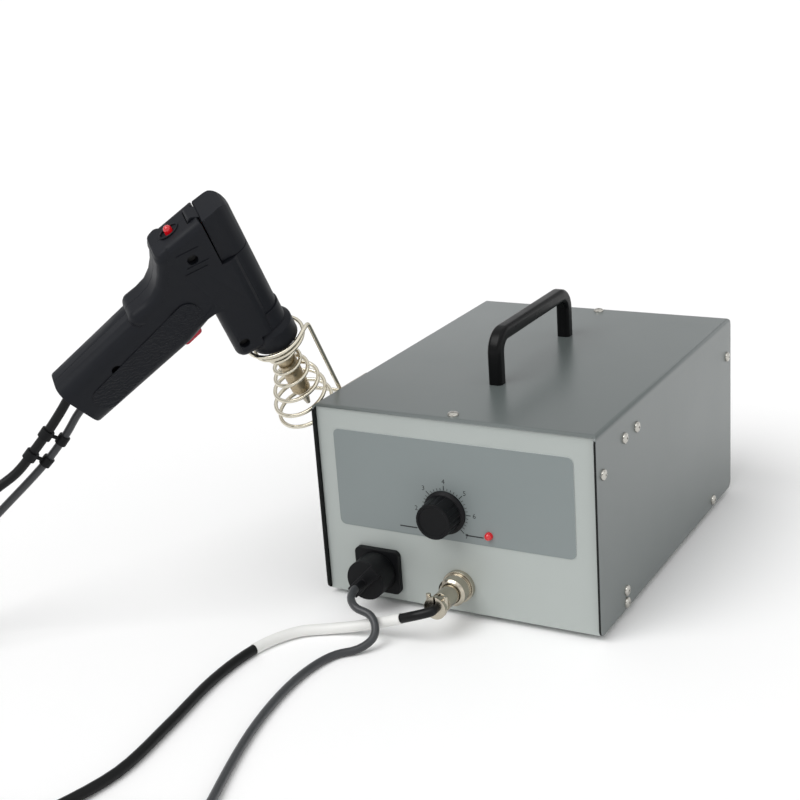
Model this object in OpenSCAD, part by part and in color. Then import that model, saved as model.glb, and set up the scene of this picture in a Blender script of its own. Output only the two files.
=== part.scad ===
// Desoldering station with its pistol-grip iron resting nose down in a wire holder.
// The origin is the centre of the case's footprint on the table, +Z is up and the front faces -Y.
// All sizes are in millimetres.

/* [Case] */
// Outside width of the case
case_w = 188; // [176:1:210]
// Outside depth of the case, front to back
case_d = 250; // [235:1:280]
// Height of the case without its feet
case_h = 126; // [122:1:150]
// Sheet thickness of the cover
cover_t = 1.5; // [1:0.1:2]
// Sheet thickness of the chassis
chassis_t = 1.5; // [1:0.1:2]
// Outside bend radius of the cover's top edges
bend_r = 3; // [2.2:0.1:5]
// Radius of the cover's lower corners, seen from the side
cover_corner_r = 5; // [2:0.5:8]
// Distance that the end panels stand back from the cover's edges
panel_inset = 3; // [2:0.5:6]
// Height of the rubber feet
foot_h = 4; // [3:0.5:8]
// Radius of a rubber foot
foot_r = 8; // [6:0.5:10]

/* [Front panel] */
// Width of the printed overlay
overlay_w = 160; // [150:1:170]
// Height of the printed overlay
overlay_h = 64; // [60:1:70]
// Thickness of the overlay
overlay_t = 0.5; // [0.3:0.1:0.8]
// Radius of the knob's skirt
knob_skirt_r = 14; // [13:0.5:15]
// Radius of the knob's fluted barrel at its base
knob_r = 12; // [10.5:0.5:12.5]
// Height of the knob
knob_h = 16; // [13:0.5:20]
// Radius of the potentiometer's shaft
shaft_r = 3; // [2.5:0.1:3.2]
// Radius of an indicator lamp
led_r = 2.5; // [2:0.1:3]

/* [Vacuum outlet] */
// Width of the outlet's flange
outlet_w = 31; // [30:0.5:34]
// Height of the outlet's flange
outlet_h = 29; // [28:0.5:32]
// Thickness of the flange
outlet_t = 4; // [3:0.5:6]
// Radius of the bayonet cap
cap_r = 13; // [11.5:0.5:13.5]
// Depth of the cap's drum
cap_d = 18; // [14:0.5:20]
// Outside diameter of the vacuum hose
hose_d = 5; // [4:0.5:6]

/* [Connector] */
// Outside diameter of the iron's cable
cable_d = 6; // [5:0.5:6.5]
// Radius of the receptacle's panel ring
receptacle_r = 10.3; // [9.8:0.1:11]
// Radius of the plug's coupling ring
plug_ring_r = 9; // [8.5:0.1:9.5]
// Radius of the plug's shell
plug_shell_r = 6.2; // [5.8:0.1:7]

/* [Handle] */
// Distance between the handle's legs, centre to centre
handle_span = 108; // [90:1:130]
// Height of the handle above the cover
handle_h = 35; // [30:1:50]
// Thickness of the handle's bar
handle_bar = 9; // [8:0.5:12]

/* [Wire holder] */
// Diameter of the holder's wire
wire_d = 2.6; // [2:0.1:3]
// Mean radius of the holder's top ring
ring_r = 18; // [17.6:0.1:19]
// Tilt of the holder from the vertical, in degrees
holder_tilt = 30; // [28:1:32]
// Length of the coil from its top ring to its last turn
holder_depth = 70; // [68:1:74]

/* [Iron] */
// Angle that the iron is turned in its holder, in degrees
iron_yaw = 45; // [0:5:90]
// Angle between the grip and the barrel, in degrees
grip_angle = 70; // [66:1:74]
// Length of the grip from the barrel's axis to the butt
grip_l = 130; // [120:1:140]
// Depth of the grip, back to front
grip_depth = 36.7; // [33:0.1:40]
// Half of the grip's thickness
grip_half_t = 14.5; // [13.5:0.1:16]
// Wall thickness of the moulded shells
shell_wall = 2; // [1.6:0.1:2.4]
// Radius of the barrel's outside
barrel_r = 11.4; // [11.2:0.1:12.5]
// Radius of the heater's black cover
heater_cover_r = 15.2; // [15:0.1:15.8]
// Radius of the silver heater barrel
heater_r = 6.2; // [5.6:0.1:6.4]
// Length of the heater barrel beyond the holder's ring
heater_l = 48; // [40:1:52]
// Inside radius of the chamber round the filter pipe
chamber_r = 9.3; // [9.2:0.1:9.5]

/* [Hidden] */

$fn = 48;
overrun = 1;
seat_gap = 0.3;
sheet_gap = 0.2;
running_gap = 0.05;

case_bottom = foot_h;
case_top = case_bottom + case_h;
inner_half_w = case_w / 2 - cover_t - sheet_gap;
panel_y = case_d / 2 - panel_inset;
panel_top = case_top - cover_t - sheet_gap;
floor_top = case_bottom + chassis_t;

flange_up = 16;
return_d = 14;
foot_inset_x = 28;
foot_inset_y = 30;
screw_head_r = 3;
screw_head_h = 2;
screw_r = 1.5;
screw_l = 6;
screw_hole_r = screw_r + seat_gap;
end_screw_y = 9.6;
end_screw_z = 100;
pair_y = -71;
pair_spacing = 20;
pair_z = 110;
low_screw_y = -83;
low_screw_z = 12.3;
low_screw_step = 8;
rear_low_screw_y = 83.5;
rear_low_screw_z = 5.4;
top_screw_y = case_d / 2 - 9.5;

overlay_x = -1;
overlay_z = 79;
overlay_corner_r = 4;
knob_x = -6;
knob_z = 65.3;
lamp_z = 54;
pump_lamp_x = 23;
status_lamp_x = -21.5;
outlet_x = -55;
outlet_z = 19.8;
socket_x = 1;
socket_z = 17.7;

bushing_r = 4.5;
knob_flutes = 18;
knob_flute_r = 1.2;
skirt_h = 2.6;
knob_lean = 0.7;
pot_body_r = 8;
pot_body_l = 9;
bushing_l = 6;
led_dome = 1.6;
led_rim = 0.5;
led_body_l = 6;
pot_nut_r = 7;
pot_nut_t = 2;
knob_base = overlay_t + seat_gap;
knob_recess = 5;
knob_dish = 0.6;
shaft_start = -6;
shaft_l = 18;

outlet_corner_r = 3.5;
cap_bar_w = 8;
cap_bar_h = 3;
nipple_r = 2.2;
nipple_l = 9;
spigot_r = 9;
spigot_l = 3;
filter_t = 5;
outlet_pocket = 7;

receptacle_t = 5;
plug_ring_l = 7.7;
plug_shell_l = 13;
clamp_l = 8;
clamp_r = 7.2;
plug_pin_r = 4.6;
receptacle_lip = 1.5;
socket_back_l = 12;
socket_back_r = 7.4;
socket_barrel_r = 6.9;
socket_barrel_l = 10;
socket_hollow = 6;
clamp_band = 3;
clamp_slit = 1.2;

inlet_w = 27;
inlet_h = 19.5;
inlet_plate_w = 50;
inlet_plate_h = 23;
inlet_plate_t = 3;
inlet_depth = 18;
inlet_x = -52;
inlet_z = 30;
inlet_wall = 1.8;
pin_w = 4;
pin_t = 2;
pin_l = 12;
pin_pitch = 7;
pin_rise = 2;
fuse_x = -2;
fuse_r = 6.5;
fuse_cap_r = 6;
fuse_l = 30;
fuse_bezel = 3;
switch_x = 50;
switch_w = 21;
switch_h = 15;
switch_bezel = 2;
switch_depth = 16;
rocker_r = 6;
rocker_w = 17;
rocker_tilt = 10;
fuse_stem_r = 4.7;
fuse_head_h = 5;
vent_count = 9;
vent_w = 3;
vent_h = 34;
vent_pitch = 8;
vent_z = 88;

core_w_share = 0.35;
core_x_share = 0.245;
core_y_share = 0.248;
winding_d_share = 0.176;
pump_x_share = 0.234;
pump_y_share = 0.232;
head_w_share = 0.16;
head_d_share = 0.18;
board_w = 96;
board_d = 70;
board_t = 1.6;
board_lift = 8;
board_y = -66;
standoff_r = 3;
capacitor_r = 8;
capacitor_h = 25;
regulator_w = 24;
regulator_h = 20;
core_w = core_w_share * case_w;
core_d = 22;
core_h = 55;
core_x = -core_x_share * case_w;
core_y = core_y_share * case_d;
winding_w = 2 * core_w / 3;
winding_d = winding_d_share * case_d;
winding_h = 36;
motor_r = 17;
motor_l = pump_x_share * case_w;
pump_x = pump_x_share * case_w;
pump_y = pump_y_share * case_d;
pump_z = 34;
head_w = head_w_share * case_d;
head_h = 46;
head_d = head_d_share * case_w;
crank_r = 8;
crank_l = 6;
crank_gap = 4;

handle_corner_r = 11;
handle_edge_r = 2.6;

ring_x = -116.2;
ring_y = -124.9;
ring_z = 172.6;
stem_offset = 13;
stem_end = 80;
plate_y = -71;
plate_z = 112;
plate_w = 36;
plate_h = 32;
plate_t = 2;
clamp_w = 9;
clamp_d = 11;
clamp_h = 10;
last_turn_shift = -3;
coil_r_shares = [1, 0.98, 0.55, 0.50, 0.62, 0.80, 0.97, 1.02, 1.02];
coil_s_shares = [0, 0.046, 0.17, 0.326, 0.443, 0.593, 0.757, 0.907, 1.01];
coil_turns = 7.75;
rings_per_turn = 24;

receiver_rear = 109;
receiver_low_rear = 100;
receiver_low_v = 41;
receiver_edge_r = 6;
receiver_half_t = 14;
receiver_edge_share = 1.5;
lobe_front = 4.6;
lobe_back = 45;
lobe_v = 25;
lobe_half_t = receiver_half_t;
grip_root_u = -72;
grip_edge_r = 9.5;
grip_bulge = 3.4;
grip_bulge_w = 56;
grip_back_w = 60;
grip_root_w = 30;
heel_curve = [[-96.4, 34], [-89.8, 35.6], [-83.2, 38.3], [-76.4, 42.6], [-70.3, 49.1], [-66.9, 56.9], [-64.9, 64.7]];
heel_middle = [-57, 38];
screw_places = [[-87.4, 21.2], [-42, 90.9], [-16.2, 17.5]];
led_u = -104.6;
led_v = 26;
slot_gap = 1;
seal_r = 9;
pipe_hole_r = 2.5;
cover_taper = 3;
heater_gap = 1.5;
switch_t = 6;
switch_gap = 2;
boss_r = 4.6;
iron_reach = 2 * grip_l;
iron_screw_l = 13;
trigger_pin_half_l = 7;
collar_r = 12.2;
collar_back = -27;
collar_front = -14.3;
cover_front_u = 4;
hood_front = -75.6;
hood_v = 7.2;
hood_rear_r = 8;
hood_wall = 2.2;
hinge_u = -105.5;
hinge_v = 11;
knuckle_r = 3.2;
knuckle_half_w = 6;
pin_r = 1;
hood_pin_half_l = 10;
pipe_r = 8;
pipe_wall = 1;
pipe_back = -88;
pipe_front = -34;
seal_l = 12;
rear_seal_l = 13;
cone_l = 16;
disc_t = 4;
nozzle_l = 11;
nozzle_r = 4;
nozzle_tip_r = 1.4;
nozzle_bore_r = 0.6;
recess_r = 3.2;
recess_depth = 6;
iron_led_r = 2.5;
trigger_front = 25.4;
trigger_back = 15;
trigger_top_w = 47.5;
trigger_low_w = 61.5;
trigger_half_w = 5;
trigger_edge_r = 2.5;
trigger_pivot_r = 1.5;
trigger_pivot_x = 18;
trigger_pivot_w = 45;
grommet_t = 5;
cable_exit_x = -3;
hose_exit_x = 9;

cable_coil_start = -90;
cable_coil_turns = 2.25;
hose_coil_start = -60;
hose_coil_turns = 13 / 6;
cord_lead = 3;
cord_start = 2;
clip_rings = [5, 7];
clip_web = 8;
sleeve_rings = [4, 5, 6, 7, 8, 9];
coil_layer_gap = 0.8;
cord_sides = 8;
coil_sides = 6;
cord_step = 2;
grip_over = 20;
clip_l = 6;
clip_wall = 1.2;
sleeve_wall = 0.4;
outlet_wall = 2;

// The cords' routes: from the iron to the coils, and from the coils to the front panel
cable_coil_at = [-140, -446];
cable_coil_r = 36;
hose_coil_at = [-42, -406];
hose_coil_r = 31;
cable_iron_route = [[-210.5, -219.9, 144.8], [-217.3, -224, 134.6], [-226.3, -229.5, 122.3],
  [-237.7, -236.4, 108.2], [-253, -248, 95], [-267, -262, 74], [-277, -280, 46],
  [-285, -300, 20], [-290, -330, 3.4], [-284, -380, 3], [-262, -426, 3], [-226, -462, 3],
  [-184, -480, 3]];
hose_iron_route = [[-206.8, -211.2, 139.1], [-213.2, -215.1, 128.4], [-222.6, -220.8, 115.4],
  [-234.1, -227.8, 102.1], [-256, -241, 79], [-274, -252, 59], [-291, -262, 36],
  [-306, -280, 14], [-313, -312, 2.8], [-311, -366, 2.5], [-292, -424, 2.5],
  [-242, -482, 2.5], [-170, -510, 2.5], [-104, -496, 2.5], [-60, -462, 2.5]];
cable_front_route = [[0, -160, 21.2], [-7, -163, 19.3], [-18, -163.5, 15.3], [-32, -164.5, 10.6],
  [-49, -167, 6], [-64, -172, 4], [-82, -184, 3.8], [-94, -210, 3.2], [-96, -250, 3],
  [-90, -300, 3], [-86, -350, 3], [-96, -400, 5]];
hose_front_route = [[-53.9, -160.9, 22.6], [-50.6, -165.5, 20.8], [-45.2, -168.4, 18.9],
  [-38.1, -168.3, 17.5], [-33.2, -170.2, 14.6], [-29.9, -174.3, 10.8],
  [-29.5, -180.3, 6.5], [-36.7, -189.1, 2.6], [-47, -198, 2.5], [-52, -230, 2.5],
  [-46, -280, 2.5], [-32, -330, 2.5], [-16, -376, 4]];

function unit(v) = v / norm(v);

// A smooth curve through the points p, with n steps between neighbours
function curve_point(a, b, c, d, t) =
  0.5 * (2 * b + (c - a) * t + (2 * a - 5 * b + 4 * c - d) * t * t
    + (3 * b - a - 3 * c + d) * t * t * t);
function curve(p, n) = [
  for (i = [0:len(p) - 2], j = [0:n - 1])
    curve_point(p[max(i - 1, 0)], p[i], p[i + 1], p[min(i + 2, len(p) - 1)], j / n),
  p[len(p) - 1]];

function path_tangent(p, i) = unit(p[min(i + 1, len(p) - 1)] - p[max(i - 1, 0)]);
function square_to(v, t) = unit(v - (v * t) * t);
function side_of(t) = abs(t.z) < 0.9 ? cross(t, [0, 0, 1]) : cross(t, [1, 0, 0]);
function frames(p) = [
  for (i = 0, n = square_to(side_of(path_tangent(p, 0)), path_tangent(p, 0)); i < len(p);
    i = i + 1, n = square_to(n, path_tangent(p, min(i, len(p) - 1)))) n];

// One unbroken tube of radius r along the path p, with flat ends
module tube(p, r, sides) {
  side = frames(p);
  points = [
    for (i = [0:len(p) - 1], k = [0:sides - 1])
      let (a = 360 * k / sides, t = path_tangent(p, i))
        p[i] + r * (cos(a) * side[i] + sin(a) * cross(t, side[i]))];
  walls = [
    for (i = [0:len(p) - 2], k = [0:sides - 1])
      let (a = i * sides + k, b = i * sides + (k + 1) % sides)
        each [[a, a + sides, b], [b, a + sides, b + sides]]];
  last = (len(p) - 1) * sides;
  ends = [
    for (k = [1:sides - 2])
      each [[0, k, k + 1], [last, last + k + 1, last + k]]];
  polyhedron(points = points, faces = concat(walls, ends));
}

// Least gap between two stretches of the tube along p that lie at least skip points apart
function self_gap(p, d, skip) = min([
  for (i = [0:len(p) - skip - 1], j = [i + skip:len(p) - 1]) norm(p[i] - p[j])]) - d;

module rounded_rect(w, h, r) {
  square([w - 2 * r, h], center = true);
  square([w, h - 2 * r], center = true);
  for (x = [-1, 1], y = [-1, 1])
    translate([x * (w / 2 - r), y * (h / 2 - r)]) circle(r);
}

// Places children on the front panel, with their +Z out of the panel
module on_front(x, z) {
  translate([x, -panel_y, case_bottom + z]) rotate([90, 0, 0]) children();
}

module on_rear(x, z) {
  translate([x, panel_y, case_bottom + z]) rotate([-90, 0, 0]) children();
}

// Where the screws pass through a side wall of the cover, as distance along the side and height
side_screws = [
  [end_screw_y - case_d / 2, end_screw_z],
  [case_d / 2 - end_screw_y, end_screw_z],
  [pair_y - pair_spacing / 2, pair_z],
  [pair_y + pair_spacing / 2, pair_z],
  [low_screw_y, low_screw_z],
  [low_screw_y, low_screw_z - low_screw_step],
  [rear_low_screw_y, rear_low_screw_z]];

module on_side_screws(side) {
  for (place = side_screws)
    translate([side * case_w / 2, place.x, case_bottom + place.y])
      rotate([0, side * 90, 0]) children();
}

module on_top_screws() {
  for (y = [-top_screw_y, top_screw_y])
    translate([0, y, case_top]) children();
}

module case_section(w, h, r) {
  translate([-w / 2, 0]) square([w, h - r]);
  translate([r - w / 2, 0]) square([w - 2 * r, h]);
  for (x = [-1, 1])
    translate([x * (w / 2 - r), h - r]) circle(r);
}

module cover() {
  color("dimgray")
    difference() {
      intersection() {
        translate([0, case_d / 2, case_bottom]) rotate([90, 0, 0])
          linear_extrude(case_d) case_section(case_w, case_h, bend_r);
        rotate([90, 0, 90]) translate([0, case_bottom + case_h / 2, -case_w])
          linear_extrude(2 * case_w) rounded_rect(case_d, case_h, cover_corner_r);
      }
      translate([0, case_d / 2 + overrun, case_bottom - overrun]) rotate([90, 0, 0])
        linear_extrude(case_d + 2 * overrun)
          case_section(case_w - 2 * cover_t, case_h - cover_t + overrun, bend_r - cover_t);
      on_side_screws(-1) cylinder(r = screw_hole_r, h = 3 * cover_t, center = true);
      on_side_screws(1) cylinder(r = screw_hole_r, h = 3 * cover_t, center = true);
      on_top_screws() cylinder(r = screw_hole_r, h = 3 * cover_t, center = true);
    }
}

module end_panel() {
  panel_h = panel_top - case_bottom;
  translate([-inner_half_w, -panel_y, case_bottom]) cube([2 * inner_half_w, chassis_t, panel_h]);
  translate([-inner_half_w, -panel_y, panel_top - chassis_t])
    cube([2 * inner_half_w, return_d, chassis_t]);
  for (side = [0, 1])
    translate([side ? inner_half_w - chassis_t : -inner_half_w, -panel_y, case_bottom])
      cube([chassis_t, return_d, panel_h]);
}

module chassis() {
  color("lightgray")
    difference() {
      union() {
        translate([-inner_half_w, -panel_y, case_bottom])
          cube([2 * inner_half_w, 2 * panel_y, chassis_t]);
        for (side = [0, 1])
          translate([side ? inner_half_w - chassis_t : -inner_half_w, -panel_y, case_bottom])
            cube([chassis_t, 2 * panel_y, flange_up]);
        end_panel();
        rotate(180) end_panel();
      }
      on_side_screws(-1) cylinder(r = screw_r, h = 3 * screw_l, center = true);
      on_side_screws(1) cylinder(r = screw_r, h = 3 * screw_l, center = true);
      on_top_screws() cylinder(r = screw_r, h = 3 * screw_l, center = true);
      on_front(knob_x, knob_z) cylinder(r = bushing_r, h = 3 * chassis_t, center = true);
      on_front(pump_lamp_x, lamp_z) cylinder(r = led_r, h = 3 * chassis_t, center = true);
      on_front(status_lamp_x, lamp_z) cylinder(r = led_r, h = 3 * chassis_t, center = true);
      on_front(outlet_x, outlet_z)
        cylinder(r = spigot_r + outlet_wall, h = 3 * chassis_t, center = true);
      on_front(socket_x, socket_z)
        cylinder(r = socket_back_r, h = 3 * chassis_t, center = true);
      on_rear(inlet_x, inlet_z)
        linear_extrude(3 * chassis_t, center = true)
          square([inlet_w, inlet_h], center = true);
      on_rear(fuse_x, inlet_z) cylinder(r = fuse_r, h = 3 * chassis_t, center = true);
      on_rear(switch_x, inlet_z)
        linear_extrude(3 * chassis_t, center = true)
          square([switch_w, switch_h], center = true);
      for (i = [0:vent_count - 1])
        on_rear((i - (vent_count - 1) / 2) * vent_pitch, vent_z)
          linear_extrude(3 * chassis_t, center = true)
            rounded_rect(vent_w, vent_h, vent_w / 2 - overrun / 10);
    }
}

module front_overlay() {
  color("gray")
    difference() {
      on_front(overlay_x, overlay_z)
        linear_extrude(overlay_t) rounded_rect(overlay_w, overlay_h, overlay_corner_r);
      on_front(knob_x, knob_z)
        cylinder(r = bushing_r + seat_gap, h = 3 * overlay_t, center = true);
      on_front(pump_lamp_x, lamp_z) cylinder(r = led_r, h = 3 * overlay_t, center = true);
      on_front(status_lamp_x, lamp_z) cylinder(r = led_r, h = 3 * overlay_t, center = true);
    }
}

module handle_section() rounded_rect(handle_bar, handle_bar, handle_edge_r);

module carry_handle() {
  leg_h = handle_h - handle_corner_r - handle_bar / 2;
  color("black")
    translate([0, 0, case_top]) {
      for (side = [0, 1])
        rotate(180 * side) translate([0, handle_span / 2, 0]) {
          linear_extrude(leg_h) handle_section();
          translate([0, -handle_corner_r, leg_h]) rotate([0, -90, 0])
            rotate_extrude(angle = 90) translate([handle_corner_r, 0]) handle_section();
        }
      translate([0, handle_span / 2 - handle_corner_r, leg_h + handle_corner_r])
        rotate([90, 0, 0]) linear_extrude(handle_span - 2 * handle_corner_r) handle_section();
    }
}

module cover_screws() {
  color("silver") {
    for (side = [-1, 1], i = [0:len(side_screws) - 1])
      translate([side * case_w / 2, side_screws[i].x, case_bottom + side_screws[i].y])
        rotate([0, side * 90, 0])
          screw(side < 0 && abs(side_screws[i].x - pair_y) < pair_spacing ? plate_t : 0);
    on_top_screws() screw(0);
  }
}

// A pan-head screw whose head sits lift above the surface
module screw(lift) {
  translate([0, 0, lift]) cylinder(r = screw_head_r, h = screw_head_h / 2);
  translate([0, 0, lift + screw_head_h / 2])
    cylinder(r1 = screw_head_r, r2 = screw_head_r / 2, h = screw_head_h / 2);
  translate([0, 0, -screw_l]) cylinder(r = screw_r, h = screw_l + lift);
}

// Four feet at the corners and one under the middle
module rubber_feet() {
  color("black")
    for (place = concat([[0, 0]], [for (x = [-1, 1], y = [-1, 1]) [x, y]]))
      translate([place.x * (case_w / 2 - foot_inset_x), place.y * (case_d / 2 - foot_inset_y)])
        cylinder(r1 = foot_r - foot_h / 4, r2 = foot_r, h = foot_h);
}

module potentiometer() {
  color("darkslategray")
    on_front(knob_x, knob_z)
      difference() {
        union() {
          translate([0, 0, -chassis_t - pot_body_l]) cylinder(r = pot_body_r, h = pot_body_l);
          translate([0, 0, -chassis_t - overrun]) cylinder(r = bushing_r, h = bushing_l);
          translate([0, 0, overlay_t]) cylinder(r = pot_nut_r, h = pot_nut_t, $fn = 6);
        }
        translate([0, 0, -pot_body_l]) cylinder(r = shaft_r + running_gap, h = 3 * bushing_l);
      }
}

module pot_shaft() {
  color("silver")
    on_front(knob_x, knob_z)
      translate([0, 0, shaft_start]) cylinder(r = shaft_r, h = shaft_l);
}

module knob() {
  color("black")
    on_front(knob_x, knob_z)
      translate([0, 0, knob_base])
        difference() {
          union() {
            cylinder(r = knob_skirt_r, h = skirt_h / 2);
            translate([0, 0, skirt_h / 2])
              cylinder(r1 = knob_skirt_r, r2 = knob_r, h = skirt_h / 2);
            translate([0, 0, skirt_h])
              cylinder(r1 = knob_r, r2 = knob_r - knob_lean, h = knob_h - skirt_h);
          }
          for (i = [0:knob_flutes - 1])
            rotate(i * 360 / knob_flutes)
              translate([knob_r + knob_flute_r / 3, 0, skirt_h])
                cylinder(r = knob_flute_r, h = knob_h);
          translate([0, 0, -overrun])
            cylinder(r = pot_nut_r + seat_gap, h = knob_recess + overrun);
          cylinder(r = shaft_r, h = shaft_start + shaft_l - knob_base);
          translate([0, 0, knob_h - knob_dish])
            cylinder(r = knob_r - 2 * knob_flute_r, h = knob_dish + overrun);
        }
}

module lamp(x) {
  on_front(x, lamp_z) {
    translate([0, 0, -led_body_l])
      cylinder(r = led_r - running_gap, h = led_body_l + led_dome);
    translate([0, 0, led_dome]) sphere(r = led_r - running_gap);
    translate([0, 0, -led_body_l]) cylinder(r = led_r + led_rim, h = led_body_l - chassis_t);
  }
}

module pump_led() {
  color("red") lamp(pump_lamp_x);
}

module status_led() {
  color("red") lamp(status_lamp_x);
}

module vacuum_flange() {
  color("black")
    on_front(outlet_x, outlet_z)
      difference() {
        union() {
          linear_extrude(outlet_t) rounded_rect(outlet_w, outlet_h, outlet_corner_r);
          translate([0, 0, -outlet_pocket - outlet_wall])
            cylinder(r = spigot_r + outlet_wall, h = outlet_pocket + outlet_wall + overrun);
          translate([0, 0, -outlet_pocket - outlet_wall - nipple_l])
            cylinder(r = nipple_r, h = nipple_l + overrun);
        }
        translate([0, 0, -outlet_pocket])
          cylinder(r = spigot_r + seat_gap, h = outlet_pocket + outlet_t + overrun);
        translate([0, 0, -outlet_pocket - 2 * nipple_l])
          cylinder(r = nipple_r / 2, h = 3 * nipple_l);
      }
}

module vacuum_filter() {
  color("white")
    on_front(outlet_x, outlet_z)
      translate([0, 0, -outlet_pocket]) cylinder(r = spigot_r, h = filter_t);
}

module vacuum_cap() {
  cap_base = outlet_t + seat_gap;
  color("black")
    on_front(outlet_x, outlet_z)
      difference() {
        union() {
          translate([0, 0, cap_base]) cylinder(r = cap_r, h = cap_d - cap_bar_h);
          translate([0, 0, cap_base])
            linear_extrude(cap_d)
              intersection() {
                circle(cap_r);
                rotate(45) square([3 * cap_r, cap_bar_w], center = true);
              }
          translate([0, 0, cap_base - spigot_l - seat_gap])
            cylinder(r = spigot_r, h = spigot_l + seat_gap + overrun);
          translate([0, 0, cap_base + cap_d - overrun])
            cylinder(r = nipple_r, h = nipple_l + overrun);
        }
        translate([0, 0, -overrun]) cylinder(r = nipple_r / 2, h = 3 * cap_d);
      }
}

module receptacle() {
  color("silver")
    on_front(socket_x, socket_z)
      difference() {
        union() {
          cylinder(r = receptacle_r, h = receptacle_t - receptacle_lip);
          cylinder(r = receptacle_r - receptacle_lip, h = receptacle_t);
          translate([0, 0, -socket_back_l]) cylinder(r = socket_back_r, h = socket_back_l);
          cylinder(r = socket_barrel_r, h = socket_barrel_l);
        }
        translate([0, 0, socket_barrel_l - socket_hollow])
          cylinder(r = plug_pin_r, h = socket_hollow + overrun);
      }
}

module plug_ring() {
  ring_base = receptacle_t + seat_gap;
  color("silver")
    on_front(socket_x, socket_z)
      difference() {
        union() {
          translate([0, 0, ring_base])
            cylinder(r = plug_ring_r, h = plug_ring_l - receptacle_lip);
          translate([0, 0, ring_base + plug_ring_l - receptacle_lip])
            cylinder(r1 = plug_ring_r, r2 = plug_ring_r - receptacle_lip, h = receptacle_lip);
        }
        translate([0, 0, -overrun])
          cylinder(r = socket_barrel_r + seat_gap, h = socket_barrel_l + 2 * overrun);
        cylinder(r = plug_shell_r + seat_gap, h = 3 * plug_ring_l);
      }
}

module plug_shell() {
  shell_end = receptacle_t + seat_gap + plug_ring_l + plug_shell_l;
  color("silver")
    on_front(socket_x, socket_z) {
      translate([0, 0, socket_barrel_l]) cylinder(r = plug_shell_r, h = shell_end - socket_barrel_l);
      translate([0, 0, socket_barrel_l - socket_hollow])
        cylinder(r = plug_pin_r, h = socket_hollow + overrun);
    }
}

module plug_clamp() {
  shell_end = receptacle_t + seat_gap + plug_ring_l + plug_shell_l;
  color("silver")
    on_front(socket_x, socket_z)
      translate([0, 0, shell_end])
        difference() {
          union() {
            cylinder(r = clamp_r - receptacle_lip, h = clamp_l);
            translate([0, 0, clamp_l - clamp_band]) cylinder(r = clamp_r, h = clamp_band);
            for (side = [-1, 1])
              translate([side * (clamp_r - screw_r), 0, clamp_l / 2])
                rotate([-90, 0, 0]) cylinder(r = screw_r, h = clamp_r);
          }
          translate([0, clamp_r, clamp_l / 2])
            cube([clamp_slit, 2 * clamp_r, 2 * clamp_l], center = true);
        }
}

module mains_inlet() {
  color("black")
    on_rear(inlet_x, inlet_z)
      difference() {
        union() {
          linear_extrude(inlet_plate_t)
            rounded_rect(inlet_plate_w, inlet_plate_h, outlet_corner_r);
          translate([-inlet_w / 2, -inlet_h / 2, -inlet_depth])
            cube([inlet_w, inlet_h, inlet_depth + overrun]);
        }
        translate([inlet_wall - inlet_w / 2, inlet_wall - inlet_h / 2, inlet_wall - inlet_depth])
          cube([inlet_w - 2 * inlet_wall, inlet_h - 2 * inlet_wall, 2 * inlet_depth]);
      }
}

module mains_pins() {
  color("silver")
    on_rear(inlet_x, inlet_z)
      for (i = [-1:1])
        translate([i * pin_pitch - pin_t / 2, -pin_w / 2 - (i == 0 ? pin_rise : -pin_rise),
          inlet_wall - inlet_depth])
          cube([pin_t, pin_w, pin_l]);
}

module fuse_holder() {
  color("black")
    on_rear(fuse_x, inlet_z)
      difference() {
        union() {
          cylinder(r = fuse_r + fuse_bezel / 2, h = fuse_bezel);
          translate([0, 0, -fuse_l]) cylinder(r = fuse_r, h = fuse_l + overrun);
        }
        translate([0, 0, -fuse_l / 2]) cylinder(r = fuse_stem_r + seat_gap, h = fuse_l);
      }
}

module fuse_cap() {
  color("black")
    on_rear(fuse_x, inlet_z)
      difference() {
        union() {
          translate([0, 0, fuse_bezel + seat_gap]) cylinder(r = fuse_cap_r, h = fuse_head_h);
          translate([0, 0, fuse_bezel - fuse_l / 3]) cylinder(r = fuse_stem_r, h = fuse_l / 3 + overrun);
        }
        translate([0, 0, fuse_bezel + fuse_head_h])
          cube([3 * fuse_cap_r, clamp_slit, fuse_head_h / 2], center = true);
      }
}

module switch_housing() {
  color("black")
    on_rear(switch_x, inlet_z)
      difference() {
        union() {
          linear_extrude(switch_bezel)
            rounded_rect(switch_w + 2 * switch_bezel, switch_h + 2 * switch_bezel, switch_bezel);
          translate([-switch_w / 2, -switch_h / 2, -switch_depth])
            cube([switch_w, switch_h, switch_depth + overrun]);
        }
        rotate([0, 90, 0])
          cylinder(r = rocker_r + seat_gap, h = rocker_w + 2 * seat_gap, center = true);
        translate([-rocker_w / 2 - seat_gap, -rocker_r - seat_gap, 0])
          cube([rocker_w + 2 * seat_gap, 2 * rocker_r + 2 * seat_gap, 2 * switch_bezel]);
      }
}

module rocker() {
  tilt = rocker_r * tan(rocker_tilt);
  color("black")
    on_rear(switch_x, inlet_z)
      rotate([90, 0, 90])
        linear_extrude(rocker_w, center = true)
          intersection() {
            circle(rocker_r);
            polygon([[-rocker_r, -rocker_r], [rocker_r, -rocker_r], [rocker_r, switch_bezel + 2 * tilt],
              [0, switch_bezel], [-rocker_r, switch_bezel]]);
          }
}

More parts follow.
